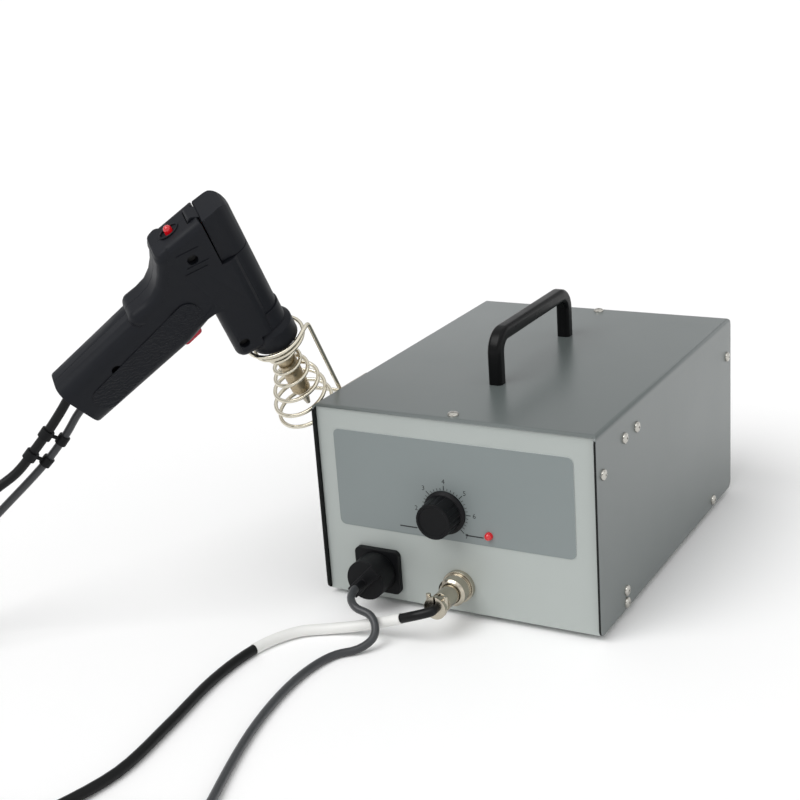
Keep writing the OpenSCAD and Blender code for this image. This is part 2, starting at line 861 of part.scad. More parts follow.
module circuit_board() {
  color("green") {
    translate([-board_w / 2, board_y - board_d / 2, floor_top + board_lift])
      cube([board_w, board_d, board_t]);
    for (x = [-1, 1], y = [-1, 1])
      translate([x * (board_w / 2 - 2 * standoff_r), board_y + y * (board_d / 2 - 2 * standoff_r),
        floor_top])
        cylinder(r = standoff_r, h = board_lift);
    for (i = [0:2])
      translate([(i - 1) * 3 * capacitor_r, board_y + board_d / 4, floor_top + board_lift + board_t])
        cylinder(r = capacitor_r, h = capacitor_h);
    translate([-regulator_w / 2, board_y - board_d / 4, floor_top + board_lift + board_t])
      cube([regulator_w, capacitor_r, regulator_h]);
  }
}

module transformer_core() {
  color("slategray")
    translate([core_x - core_w / 2, core_y - core_d / 2, floor_top])
      cube([core_w, core_d, core_h]);
}

module transformer_winding() {
  color("peru")
    for (side = [-1, 1])
      translate([core_x, core_y + side * (core_d + winding_d) / 4, floor_top + core_h / 2])
        cube([winding_w, (winding_d - core_d) / 2, winding_h], center = true);
}

module pump_motor() {
  color("silver")
    translate([pump_x, pump_y, floor_top + pump_z]) {
      rotate([0, 90, 0]) cylinder(r = motor_r, h = motor_l);
      translate([motor_l / 6, -motor_r / 2, -pump_z]) cube([2 * motor_l / 3, motor_r, pump_z]);
    }
}

module pump_rotor() {
  color("dimgray")
    translate([pump_x - crank_gap, pump_y, floor_top + pump_z]) rotate([0, -90, 0]) {
      cylinder(r = crank_r, h = crank_l);
      translate([crank_r / 2, 0, 0]) cylinder(r = crank_r / 4, h = crank_l + crank_gap);
      translate([0, 0, seat_gap - crank_gap]) cylinder(r = crank_r / 3, h = crank_gap);
    }
}

module pump_head() {
  head_x = pump_x - 3 * crank_gap - crank_l - head_d;
  color("black")
    translate([head_x, pump_y - head_w / 2, floor_top]) {
      cube([head_d, head_w, head_h]);
      translate([head_d / 3, head_w / 4, head_h]) cylinder(r = nipple_r, h = nipple_l);
    }
}

// Places children in the holder's frame: its coil runs down -Z and its stem rises on the +X side
module in_holder() {
  translate([ring_x, ring_y, ring_z]) rotate([holder_tilt, 0, 0]) children();
}

// The value at turn t of a list of values, one for each turn, joined smoothly
function along_turns(values, t) =
  let (i = min(floor(t), len(values) - 2), n = len(values) - 1)
    curve_point(values[max(i - 1, 0)], values[i], values[i + 1], values[min(i + 2, n)], t - i);

function coil_point(t) =
  let (r = along_turns(coil_r_shares, t) * ring_r,
    s = along_turns(coil_s_shares, t) * holder_depth,
    shift = last_turn_shift * max(0, min(1, t - 5)))
      [r * cos(360 * t) + shift, -r * sin(360 * t), -s];

wall_reach = case_w / -2 - plate_t - ring_x;
coil_end = coil_point(coil_turns);
holder_path = concat(
  [[ring_r, stem_offset, -stem_end], [ring_r, stem_offset, -stem_end + 2 * wire_d],
    [ring_r, stem_offset, -wire_d], [ring_r, stem_offset - wire_d / 4, -wire_d / 4],
    [ring_r, stem_offset - wire_d, 0]],
  [for (i = [0:coil_turns * rings_per_turn]) coil_point(i / rings_per_turn)],
  [for (x = [wall_reach - wire_d, wall_reach]) [x, coil_end.y, coil_end.z]]);

echo(holder_least_gap = self_gap(
  [for (i = [4:len(holder_path) - 3]) holder_path[i]], wire_d, rings_per_turn / 2));

module holder_wire() {
  color("silver") in_holder() tube(holder_path, wire_d / 2, coil_sides);
}

module holder_clamp() {
  color("silver") {
    difference() {
      translate([-case_w / 2 - plate_t, plate_y - plate_w / 2, plate_z - plate_h / 2])
        cube([plate_t, plate_w, plate_h]);
      for (side = [-1, 1])
        translate([-case_w / 2, pair_y + side * pair_spacing / 2, case_bottom + pair_z])
          rotate([0, 90, 0]) cylinder(r = screw_hole_r, h = 3 * plate_t, center = true);
    }
    in_holder()
      translate([wall_reach - clamp_w, stem_offset - clamp_d / 2, -stem_end - clamp_h])
        cube([clamp_w, clamp_d, clamp_h]);
  }
}

// Places children in the iron's frame: its tip points down -Z and its grip leans to -X
module in_iron() {
  in_holder() rotate(iron_yaw) children();
}

// Places children at the distance u along the barrel from the holder's ring, +Z towards the tip
module on_barrel(u) {
  in_iron() translate([0, 0, -u]) rotate([180, 0, 0]) children();
}

// Places children in the grip's frame: its butt lies down -Z and its trigger side is +X
module in_grip() {
  in_iron() translate([0, 0, -grip_root_u]) rotate([0, grip_angle, 0]) children();
}

// A disc across the iron's thickness with rounded edges
module edge_disc(x, z, half_t, r) {
  for (side = [-1, 1])
    translate([x, side * (half_t - r), z]) sphere(r = r, $fn = 20);
}

// How far back the receiver's slanted rear reaches at the height v
function rear_at(v) = receiver_rear - (receiver_rear - receiver_low_rear)
  * (v - receiver_edge_r / 2) / (receiver_low_v - receiver_edge_share * receiver_edge_r);

module receiver_form(inset) {
  r = receiver_edge_r - inset;
  half_t = receiver_half_t - inset;
  top_v = inset > 0 ? chamber_r + shell_wall + receiver_edge_r / 2 : receiver_edge_r / 2;
  hull() {
    edge_disc(-top_v, rear_at(top_v) - receiver_edge_r, half_t, r);
    edge_disc(receiver_edge_r - receiver_low_v, receiver_low_rear - receiver_edge_r, half_t, r);
    edge_disc(receiver_edge_r - lobe_v, lobe_back, half_t, r);
    edge_disc(-top_v, lobe_back, half_t, r);
  }
}

module lobe_form() {
  hull()
    for (v = [receiver_edge_r - lobe_v, -receiver_edge_r / 2], u = [lobe_front, lobe_back])
      edge_disc(v, u + receiver_edge_r, lobe_half_t, receiver_edge_r);
}

module grip_form(inset) {
  r = grip_edge_r - inset;
  half_t = grip_half_t - inset;
  x = grip_depth / 2 - grip_edge_r;
  hull() {
    edge_disc(-x, -grip_back_w, half_t, r);
    edge_disc(-x, -grip_l - grip_over, half_t, r);
    edge_disc(x, -grip_l - grip_over, half_t, r);
    edge_disc(x + grip_bulge, -grip_bulge_w, half_t, r);
    edge_disc(x, -grip_root_w, half_t, r);
  }
}

// The hollow curve that joins the receiver to the grip's back
module heel_form() {
  for (i = [1:len(heel_curve) - 1])
    hull()
      for (place = [heel_curve[i - 1], heel_curve[i], heel_middle])
        edge_disc(-place.y, -place.x, receiver_half_t, receiver_edge_r);
}

// The hinge's nose and the space that the hood and its tab need on the shells
module hood_space() {
  translate([-hood_v - seat_gap, 0, -hood_front - seat_gap])
    translate([0, -iron_reach / 2, 0]) cube([iron_reach, iron_reach, iron_reach]);
  difference() {
    translate([-hinge_v, -iron_reach / 2, -hinge_u]) cube([iron_reach, iron_reach, iron_reach]);
    hinge_axis() cylinder(r = knuckle_r, h = iron_reach, center = true);
  }
  hinge_axis() cylinder(r = knuckle_r + seat_gap, h = 2 * (knuckle_half_w + seat_gap), center = true);
}

module hinge_axis() {
  translate([-hinge_v, 0, -hinge_u]) rotate([90, 0, 0]) children();
}

module trigger_axis() {
  translate([trigger_pivot_x, 0, -trigger_pivot_w]) rotate([90, 0, 0]) children();
}

module on_screw_places() {
  in_iron()
    for (place = screw_places)
      translate([-place.y, -receiver_half_t, -place.x]) rotate([90, 0, 0]) children();
}

// The bosses and pads that stand up inside the shells
module shell_posts() {
  on_screw_places() cylinder(r = boss_r, h = 2 * iron_reach, center = true);
  in_iron() hinge_axis() cylinder(r = knuckle_r, h = 2 * iron_reach, center = true);
  in_grip() {
    trigger_axis() cylinder(r = 2 * trigger_pivot_r, h = 2 * grip_half_t, center = true);
    for (side = [-1, 1])
      translate([trigger_back / 2, side * (switch_t / 2 + grip_half_t), -(trigger_low_w + trigger_top_w) / 2])
        cube([trigger_back - 2 * switch_gap, 2 * grip_half_t, trigger_low_w - trigger_top_w], center = true);
  }
}

// One of the two moulded half shells, on the side where side is 1 or -1
module iron_shell(side) {
  difference() {
    union() {
      in_iron() {
        receiver_form(0);
        lobe_form();
        heel_form();
      }
      on_barrel(hinge_u) cylinder(r = barrel_r, h = collar_back - hinge_u);
      in_grip() grip_form(0);
    }
    difference() {
      union() {
        in_iron() receiver_form(shell_wall);
        in_grip() grip_form(shell_wall);
      }
      shell_posts();
    }
    in_iron() {
      hood_space();
      hinge_axis() cylinder(r = pin_r, h = 2 * hood_pin_half_l, center = true);
      translate([-iron_reach, side > 0 ? -iron_reach : 0, -iron_reach])
        cube([2 * iron_reach, iron_reach, 2 * iron_reach]);
    }
    in_grip() {
      trigger_axis()
        cylinder(r = 2 * trigger_pivot_r + seat_gap, h = 2 * (trigger_half_w + seat_gap), center = true);
      translate([-iron_reach, -iron_reach, -grip_l - 2 * iron_reach]) cube(2 * iron_reach);
      translate([trigger_back, -trigger_half_w - seat_gap, -trigger_low_w - slot_gap])
        cube([grip_depth, 2 * (trigger_half_w + seat_gap), trigger_low_w - trigger_top_w + 2 * slot_gap]);
      trigger_axis()
        cylinder(r = trigger_pivot_r + running_gap, h = 2 * (trigger_pin_half_l + seat_gap), center = true);
    }
    on_barrel(-iron_reach) cylinder(r = chamber_r, h = 2 * iron_reach);
    on_barrel(collar_back) cylinder(r = collar_r + seat_gap, h = iron_reach);
    on_barrel(collar_front) cylinder(r = heater_cover_r + seat_gap, h = iron_reach);
    on_screw_places() {
      translate([0, 0, -recess_depth]) cylinder(r = recess_r, h = 2 * recess_depth);
      translate([0, 0, -recess_depth - iron_screw_l]) cylinder(r = screw_r, h = iron_screw_l + overrun);
    }
    in_iron() translate([-led_v, 0, -led_u])
      cylinder(r = iron_led_r + running_gap, h = 3 * recess_depth, center = true);
  }
}

module iron_shell_left() {
  color([0.12, 0.12, 0.13]) iron_shell(1);
}

module iron_shell_right() {
  color([0.12, 0.12, 0.13]) iron_shell(-1);
}

module iron_screws() {
  color("silver")
    on_screw_places()
      translate([0, 0, -recess_depth - iron_screw_l]) {
        cylinder(r = screw_r, h = iron_screw_l);
        translate([0, 0, iron_screw_l]) cylinder(r = screw_head_r, h = screw_head_h);
      }
}

module iron_collar() {
  color([0.12, 0.12, 0.13])
    on_barrel(collar_back)
      difference() {
        cylinder(r = collar_r, h = collar_front - collar_back);
        translate([0, 0, -overrun]) cylinder(r = seal_r, h = iron_reach);
      }
}

module heater_cover() {
  color("black")
    on_barrel(collar_front)
      difference() {
        union() {
          cylinder(r1 = collar_r, r2 = heater_cover_r, h = cover_taper);
          translate([0, 0, cover_taper])
            cylinder(r = heater_cover_r, h = cover_front_u - collar_front - 2 * cover_taper);
          translate([0, 0, cover_front_u - collar_front - cover_taper])
            cylinder(r1 = heater_cover_r, r2 = heater_r + heater_gap, h = cover_taper);
        }
        translate([0, 0, -overrun]) cylinder(r = heater_r, h = iron_reach);
      }
}

module heater_barrel() {
  color("lightgray")
    on_barrel(collar_back)
      difference() {
        union() {
          cylinder(r = heater_r, h = heater_l - collar_back);
          translate([0, 0, heater_l - collar_back])
            cylinder(r1 = heater_r, r2 = nozzle_r, h = cover_taper);
        }
        translate([0, 0, -overrun]) cylinder(r = pipe_hole_r, h = 2 * iron_reach);
      }
}

module nozzle() {
  color("silver")
    on_barrel(heater_l + cover_taper)
      difference() {
        cylinder(r1 = nozzle_r, r2 = nozzle_tip_r, h = nozzle_l);
        translate([0, 0, -overrun]) cylinder(r = nozzle_bore_r, h = nozzle_l + 2 * overrun);
      }
}

module filter_pipe() {
  color("lightblue")
    on_barrel(pipe_back)
      difference() {
        cylinder(r = pipe_r, h = pipe_front - pipe_back);
        translate([0, 0, -overrun]) cylinder(r = pipe_r - pipe_wall, h = iron_reach);
      }
}

module filter_cone() {
  color("silver")
    on_barrel(pipe_front - cone_l)
      difference() {
        cylinder(r1 = pipe_hole_r, r2 = pipe_r - pipe_wall, h = cone_l);
        translate([0, 0, -overrun]) cylinder(r = pipe_hole_r / 2, h = 2 * cone_l);
      }
}

module filter_disc() {
  color("white")
    on_barrel(pipe_back) cylinder(r = pipe_r - pipe_wall, h = disc_t);
}

module front_seal() {
  color("orangered")
    on_barrel(pipe_front)
      difference() {
        cylinder(r = seal_r, h = collar_back - pipe_front);
        translate([0, 0, -overrun]) cylinder(r = pipe_hole_r, h = iron_reach);
      }
}

module rear_seal() {
  color("orangered")
    on_barrel(pipe_back - seat_gap - rear_seal_l)
      difference() {
        cylinder(r = pipe_r, h = rear_seal_l);
        translate([0, 0, rear_seal_l / 2]) cylinder(r = pipe_hole_r, h = rear_seal_l);
      }
}

// The barrel's outline with straight skirts down its sides, for the hinged rear hood
module hood_section(r, low) {
  intersection() {
    circle(r);
    translate([0, -r]) square(2 * r);
  }
  translate([-low, -r]) square([low, 2 * r]);
}

module iron_hood() {
  hood_l = receiver_rear + hood_front;
  color([0.12, 0.12, 0.13])
    in_iron()
      difference() {
        union() {
          intersection() {
            translate([0, 0, -hood_front]) linear_extrude(hood_l) hood_section(barrel_r, hood_v);
            rotate([90, 0, 0])
              translate([-hood_v - iron_reach + barrel_r + hood_v, -hood_front - iron_reach + hood_l, -iron_reach])
                linear_extrude(2 * iron_reach) square_with_round(iron_reach, hood_rear_r);
          }
          hinge_axis() cylinder(r = knuckle_r, h = 2 * knuckle_half_w, center = true);
          translate([-hinge_v, -knuckle_half_w, -hinge_u])
            cube([hinge_v - hood_v + overrun, 2 * knuckle_half_w, knuckle_r]);
        }
        translate([0, 0, -hood_front - overrun])
          linear_extrude(hood_l - hood_wall) hood_section(chamber_r, hood_v + overrun);
        hinge_axis() cylinder(r = pin_r + running_gap, h = iron_reach, center = true);
      }
}

// A square whose far corner is rounded
module square_with_round(w, r) {
  square([w, w - r]);
  square([w - r, w]);
  translate([w - r, w - r]) circle(r);
}

module hood_pin() {
  color("silver")
    in_iron() hinge_axis() cylinder(r = pin_r, h = 2 * hood_pin_half_l, center = true);
}

module iron_led() {
  color("red")
    in_iron()
      translate([-led_v, 0, -led_u]) {
        translate([0, 0, -recess_depth]) cylinder(r = iron_led_r, h = recess_depth);
        sphere(r = iron_led_r);
      }
}

module microswitch() {
  color("dimgray")
    in_grip()
      translate([0, -switch_t / 2, -trigger_low_w])
        cube([trigger_back - switch_gap, switch_t, trigger_low_w - trigger_top_w]);
}

module trigger() {
  color("crimson")
    in_grip() {
      rotate([90, 0, 0])
        linear_extrude(2 * trigger_half_w, center = true)
          translate([(trigger_front + trigger_back) / 2, -(trigger_low_w + trigger_top_w) / 2])
            rounded_rect(trigger_front - trigger_back, trigger_low_w - trigger_top_w, trigger_edge_r);
      trigger_axis() {
        cylinder(r = trigger_pivot_r, h = 2 * trigger_pin_half_l, center = true);
        cylinder(r = 2 * trigger_pivot_r, h = 2 * trigger_half_w, center = true);
      }
    }
}

module grip_grommet() {
  color("black")
    in_grip()
      translate([0, 0, -grip_l])
        linear_extrude(grommet_t)
          rounded_rect(grip_depth - 3 * shell_wall, 2 * (grip_half_t - 1.5 * shell_wall),
            grip_edge_r - 2 * shell_wall);
}

function turn_x(p, a) = [p.x, p.y * cos(a) - p.z * sin(a), p.y * sin(a) + p.z * cos(a)];
function turn_y(p, a) = [p.x * cos(a) + p.z * sin(a), p.y, p.z * cos(a) - p.x * sin(a)];
function turn_z(p, a) = [p.x * cos(a) - p.y * sin(a), p.x * sin(a) + p.y * cos(a), p.z];

// The place in the part's frame of the point at x across the grip and w along it
function grip_place(x, w) =
  [ring_x, ring_y, ring_z]
    + turn_x(turn_z(turn_y([x, 0, -w], grip_angle) - [0, 0, grip_root_u], iron_yaw), holder_tilt);

// A laid coil: it spirals in, climbs one layer in the half turn where it reverses, and spirals out
function laid_z(t, turns, d) =
  let (s = max(0, min(1, 2 * (t - turns / 2) + 0.5)))
    d / 2 + (d + coil_layer_gap) * s * s * (3 - 2 * s);
function laid_point(at, r, d, start, turns, t) =
  let (a = start + 360 * t, now_r = r - (d + coil_layer_gap) * min(t, turns - t))
    [at.x + now_r * cos(a), at.y + now_r * sin(a), laid_z(t, turns, d)];
function heading(a) = [-sin(a), cos(a), 0];
function laid_coil(at, r, d, start, turns) =
  let (n = ceil(turns * rings_per_turn), end = start + 360 * turns)
    concat([laid_point(at, r, d, start, turns, 0) - d * heading(start)],
      [for (i = [0:n]) laid_point(at, r, d, start, turns, turns * i / n)],
      [laid_point(at, r, d, start, turns, turns) + d * heading(end)]);

cable_coil_path = laid_coil(cable_coil_at, cable_coil_r, cable_d, cable_coil_start, cable_coil_turns);
hose_coil_path = laid_coil(hose_coil_at, hose_coil_r, hose_d, hose_coil_start, hose_coil_turns);

echo(cable_coil_least_gap = self_gap(cable_coil_path, cable_d, rings_per_turn / 2));
echo(hose_coil_least_gap = self_gap(hose_coil_path, hose_d, rings_per_turn / 2));

function iron_run(x, d, route, coil) = concat(
  [grip_place(x, grip_l)],
  [for (q = curve(concat([grip_place(x, grip_l + cord_lead)], route, [coil[0]]), cord_step))
    [q.x, q.y, max(q.z, d / 2)]]);
cable_iron_path = iron_run(cable_exit_x, cable_d, cable_iron_route, cable_coil_path);
hose_iron_path = iron_run(hose_exit_x, hose_d, hose_iron_route, hose_coil_path);

clamp_end = receptacle_t + seat_gap + plug_ring_l + plug_shell_l + clamp_l;
nipple_end = outlet_t + seat_gap + cap_d + nipple_l;
function front_run(x, z, out, route, coil) = concat(
  [for (way = [out, out + cord_start]) [x, -panel_y - way, case_bottom + z]],
  route, [coil[len(coil) - 1]]);
cable_front_path = front_run(socket_x, socket_z, clamp_end, cable_front_route, cable_coil_path);
hose_front_path = front_run(outlet_x, outlet_z, nipple_end, hose_front_route, hose_coil_path);

function path_length(p) = norm(p[0] - p[1])
  + (len(p) > 2 ? path_length([for (i = [1:len(p) - 1]) p[i]]) : 0);
echo(cable_length = path_length(cable_iron_path) + path_length(cable_coil_path)
  + path_length(cable_front_path));
echo(hose_length = path_length(hose_iron_path) + path_length(hose_coil_path)
  + path_length(hose_front_path));

module cable_iron_run() {
  color("black") tube(cable_iron_path, cable_d / 2, cord_sides);
}

module hose_iron_run() {
  color("black") tube(hose_iron_path, hose_d / 2, cord_sides);
}

module cable_coil() {
  color("black") tube(cable_coil_path, cable_d / 2, coil_sides);
}

module hose_coil() {
  color("black") tube(hose_coil_path, hose_d / 2, coil_sides);
}

module cable_front_run() {
  color("black") tube(cable_front_path, cable_d / 2, cord_sides);
}

module hose_front_run() {
  color("dimgray") tube(hose_front_path, hose_d / 2, cord_sides);
}

// Places children halfway between two points, with their +Z along the line between them
module between(a, b) {
  way = unit(b - a);
  translate((a + b) / 2) rotate([0, acos(way.z), atan2(way.y, way.x)]) children();
}

module cord_clips() {
  color("black")
    for (i = clip_rings)
      difference() {
        union() {
          between(cable_iron_path[i], cable_iron_path[i + 1])
            cylinder(r = cable_d / 2 + clip_wall, h = clip_l, center = true);
          between(hose_iron_path[i], hose_iron_path[i + 1])
            cylinder(r = hose_d / 2 + clip_wall, h = clip_l, center = true);
          between((cable_iron_path[i] + cable_iron_path[i + 1]) / 2,
            (hose_iron_path[i] + hose_iron_path[i + 1]) / 2)
            cylinder(r = clip_wall, h = clip_web, center = true);
        }
        between(cable_iron_path[i], cable_iron_path[i + 1])
          cylinder(r = cable_d / 2 + running_gap, h = 3 * clip_l, center = true);
        between(hose_iron_path[i], hose_iron_path[i + 1])
          cylinder(r = hose_d / 2 + running_gap, h = 3 * clip_l, center = true);
      }
}

module cable_sleeve() {
  part = [for (i = sleeve_rings) cable_front_path[i]];
  core = [for (i = [sleeve_rings[0] - 1:sleeve_rings[len(sleeve_rings) - 1] + 1]) cable_front_path[i]];
  color("white")
    difference() {
      tube(part, cable_d / 2 + sleeve_wall, cord_sides);
      tube(core, cable_d / 2, cord_sides);
    }
}

chassis();
cover();
front_overlay();
carry_handle();
cover_screws();
rubber_feet();
pot_shaft();
potentiometer();
pump_led();
status_led();
vacuum_flange();
vacuum_filter();
receptacle();
plug_shell();
plug_clamp();
mains_inlet();
mains_pins();
fuse_holder();
switch_housing();
circuit_board();
transformer_core();
transformer_winding();
pump_motor();
pump_head();
holder_wire();
holder_clamp();
knob();
vacuum_cap();
plug_ring();
rocker();
fuse_cap();
pump_rotor();
iron_shell_left();
iron_shell_right();
iron_screws();
iron_collar();
heater_cover();
heater_barrel();
nozzle();
filter_pipe();
filter_cone();
filter_disc();
front_seal();
iron_led();
microswitch();
grip_grommet();
hood_pin();
iron_hood();
rear_seal();
trigger();
hose_iron_run();
cable_iron_run();
hose_coil();
cable_coil();
hose_front_run();
cable_front_run();
cord_clips();
cable_sleeve();
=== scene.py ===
import math

import bmesh
import bpy
from mathutils import Matrix, Vector


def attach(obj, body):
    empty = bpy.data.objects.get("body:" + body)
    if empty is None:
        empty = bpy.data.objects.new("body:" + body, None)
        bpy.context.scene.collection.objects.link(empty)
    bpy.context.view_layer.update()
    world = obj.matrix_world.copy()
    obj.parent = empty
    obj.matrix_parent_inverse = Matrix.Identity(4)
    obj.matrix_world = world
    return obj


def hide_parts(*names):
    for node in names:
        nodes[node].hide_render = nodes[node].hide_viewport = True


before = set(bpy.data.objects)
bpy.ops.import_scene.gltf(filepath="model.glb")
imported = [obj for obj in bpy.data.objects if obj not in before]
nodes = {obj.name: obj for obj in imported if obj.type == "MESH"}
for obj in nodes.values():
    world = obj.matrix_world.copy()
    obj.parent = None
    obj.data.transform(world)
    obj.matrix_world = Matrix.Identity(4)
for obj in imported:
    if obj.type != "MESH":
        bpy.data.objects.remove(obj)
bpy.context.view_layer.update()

mm = 0.001


# ---- small helpers

def linear(hexCode):
    # sRGB hex to linear RGBA
    parts = [int(hexCode[i:i + 2], 16) / 255 for i in (1, 3, 5)]
    return tuple(c / 12.92 if c <= 0.04045 else ((c + 0.055) / 1.055) ** 2.4 for c in parts) + (1.0,)


def addNode(tree, kind, settings=None, links=None):
    node = tree.nodes.new(kind)
    for key, value in (settings or {}).items():
        if isinstance(key, int) or key in node.inputs:
            node.inputs[key].default_value = value
        else:
            setattr(node, key, value)
    for key, source in (links or {}).items():
        tree.links.new(source, node.inputs[key])
    return node


def linkObject(name, data):
    made = bpy.data.objects.new(name, data)
    bpy.context.scene.collection.objects.link(made)
    return made


def addPiece(name, mesh, body, material=None):
    piece = linkObject(name, mesh)
    if material:
        mesh.materials.clear()
        mesh.materials.append(material)
    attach(piece, body)
    return piece


def shadeSmooth(mesh, sharpDeg):
    mesh.shade_smooth()
    mesh.set_sharp_from_angle(angle=math.radians(sharpDeg))


def finishMesh(bm, name):
    # a mesh of the drawn faces, with their normals outwards
    bmesh.ops.recalc_face_normals(bm, faces=bm.faces)
    mesh = bpy.data.meshes.new(name)
    bm.to_mesh(mesh)
    bm.free()
    return mesh


def evaluatedMesh(piece):
    # the piece's mesh with its modifiers worked in
    return bpy.data.meshes.new_from_object(piece.evaluated_get(bpy.context.evaluated_depsgraph_get()))


def joinRings(bm, rings):
    # a band of faces from each ring of points to the next
    sides = len(rings[0])
    for low, high in zip(rings, rings[1:]):
        for k in range(sides):
            after = (k + 1) % sides
            bm.faces.new((low[k], low[after], high[after], high[k]))


def splineAt(a, b, c, d, t):
    # the Catmull-Rom value at t between b and c
    return 0.5 * (2 * b + (c - a) * t + (2 * a - 5 * b + 4 * c - d) * t * t + (3 * b - a - 3 * c + d) * t ** 3)


def smoothCurve(points, steps):
    # a spline through every point
    made = []
    for i in range(len(points) - 1):
        a, b = points[max(i - 1, 0)], points[i]
        c, d = points[i + 1], points[min(i + 2, len(points) - 1)]
        made += [splineAt(a, b, c, d, k / steps) for k in range(steps)]
    return made + [points[-1]]


def sweepTube(name, path, radius, sides, sharpDeg=50):
    # one closed tube along the path, its rings carried without twist
    bm = bmesh.new()
    count = len(path)
    ways = [(path[min(i + 1, count - 1)] - path[max(i - 1, 0)]).normalized() for i in range(count)]
    angles = [2 * math.pi * k / sides for k in range(sides)]
    side = ways[0].orthogonal().normalized()
    rings = []
    for point, way in zip(path, ways):
        side = (side - side.dot(way) * way).normalized()
        up = way.cross(side)
        rings.append([bm.verts.new(point + radius * (math.cos(a) * side + math.sin(a) * up)) for a in angles])
    joinRings(bm, rings)
    bm.faces.new(list(reversed(rings[0])))
    bm.faces.new(rings[-1])
    mesh = finishMesh(bm, name)
    shadeSmooth(mesh, sharpDeg)
    return mesh


dressSet = {"mergeM": 2e-6, "flatDeg": 0.4, "sharpDeg": 32, "bevelSegments": 2}


def dressed(node, body, material, edgeMm):
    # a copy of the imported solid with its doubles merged, soft edges and smooth rounds
    mesh = nodes[node].data.copy()
    bm = bmesh.new()
    bm.from_mesh(mesh)
    bmesh.ops.remove_doubles(bm, verts=bm.verts, dist=dressSet["mergeM"])
    bmesh.ops.dissolve_limit(bm, angle_limit=math.radians(dressSet["flatDeg"]), verts=bm.verts, edges=bm.edges)
    bm.to_mesh(mesh)
    bm.free()
    shadeSmooth(mesh, dressSet["sharpDeg"])
    words = node.split("_")
    piece = addPiece(words[0] + "".join(w.title() for w in words[1:]) + "Form", mesh, body, material)
    if edgeMm:
        bevel = piece.modifiers.new("softEdges", "BEVEL")
        bevel.width = edgeMm * mm
        bevel.segments = dressSet["bevelSegments"]
        bevel.limit_method = "ANGLE"
        bevel.angle_limit = math.radians(dressSet["sharpDeg"])
        bevel.use_clamp_overlap = False
        bevel.harden_normals = True
    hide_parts(node)
    return piece


# ---- camera

cameraSet = {"lensMm": 68.64, "sensorMm": 36, "farM": 100, "place": (0.40177, -0.86897, 0.43184),
             "right": (0.87438, 0.48023, -0.06957), "up": (-0.09756, 0.31443, 0.94425),
             "back": (0.47533, -0.81885, 0.32179)}
cameraData = bpy.data.cameras.new("viewCamera")
cameraData.lens = cameraSet["lensMm"]
cameraData.sensor_fit = "HORIZONTAL"
cameraData.sensor_width = cameraSet["sensorMm"]
cameraData.clip_end = cameraSet["farM"]
viewCamera = linkObject("viewCamera", cameraData)
axes = Matrix((cameraSet["right"], cameraSet["up"], cameraSet["back"])).transposed()
viewCamera.matrix_world = Matrix.Translation(cameraSet["place"]) @ axes.to_4x4()
bpy.context.scene.camera = viewCamera
print("camera placed")


# ---- where holder and iron lie: the iron's tip along -Z, its grip towards -X

restSet = {"place": (-0.1162, -0.1249, 0.1726), "leanDeg": 30, "turnDeg": 45, "gripUp": 0.072, "gripDeg": 70}
holderFrame = Matrix.Translation(restSet["place"]) @ Matrix.Rotation(math.radians(restSet["leanDeg"]), 4, "X")
ironFrame = holderFrame @ Matrix.Rotation(math.radians(restSet["turnDeg"]), 4, "Z")
gripFrame = (ironFrame @ Matrix.Translation((0, 0, restSet["gripUp"]))
             @ Matrix.Rotation(math.radians(restSet["gripDeg"]), 4, "Y"))


# ---- materials

def makeMaterial(name, tone, roughness, metallic=0.0, toneSpread=0.06, patchMm=25, roughSpread=0.05,
                 grainMm=0.6, grainDepthMm=0.01, stretch=(1, 1, 1), sockets=None):
    material = bpy.data.materials.new(name)
    material.use_nodes = True
    tree = material.node_tree
    shader = tree.nodes["Principled BSDF"]
    shader.inputs["Metallic"].default_value = metallic
    for key, value in (sockets or {}).items():
        shader.inputs[key].default_value = value
    base = linear(tone)
    dark = tuple(c * (1 - toneSpread) for c in base[:3]) + (1.0,)
    light = tuple(min(1.0, c * (1 + toneSpread)) for c in base[:3]) + (1.0,)
    place = addNode(tree, "ShaderNodeTexCoord")
    patches = addNode(tree, "ShaderNodeTexNoise", {"Scale": 1000 / patchMm, "Detail": 5.0},
                      {"Vector": place.outputs["Object"]})
    tint = addNode(tree, "ShaderNodeMix", {"data_type": "RGBA", 6: dark, 7: light}, {0: patches.outputs[0]})
    gloss = addNode(tree, "ShaderNodeMapRange",
                    {"From Min": 0.3, "From Max": 0.7, "To Min": roughness - roughSpread,
                     "To Max": roughness + roughSpread}, {"Value": patches.outputs[0]})
    turned = addNode(tree, "ShaderNodeMapping", {"Scale": stretch}, {"Vector": place.outputs["Object"]})
    grain = addNode(tree, "ShaderNodeTexNoise", {"Scale": 1000 / grainMm, "Detail": 3.0},
                    {"Vector": turned.outputs[0]})
    bump = addNode(tree, "ShaderNodeBump", {"Strength": 1.0, "Distance": grainDepthMm * mm},
                   {"Height": grain.outputs[0]})
    tree.links.new(tint.outputs[2], shader.inputs["Base Color"])
    tree.links.new(gloss.outputs[0], shader.inputs["Roughness"])
    tree.links.new(bump.outputs[0], shader.inputs["Normal"])
    return material


# textured silver enamel on steel: an even grey with a fine orange peel
silverEnamel = makeMaterial("silverEnamelOnSteel", "#abb1ae", 0.42, 0.15, 0.035, 60, 0.04, 0.45, 0.012)
# satin dark enamel on steel: mirrors the room softly in its peel
grayEnamel = makeMaterial("grayEnamelOnSteel", "#5f6665", 0.33, 0.0, 0.05, 80, 0.03, 0.8, 0.006,
                          sockets={"Coat Weight": 0.25, "Coat Roughness": 0.25})
# the cover's folded edges and inside in near black: painted shade for the shadowed gap along the front and the
# shaded inside of the sheet
paintedEdgeShade = makeMaterial("paintedShadeOnCoverEdge", "#0c0e0e", 0.55, 0.0, 0.1, 10, 0.05, 0.6, 0.01,
                        sockets={"Specular IOR Level": 0.2})
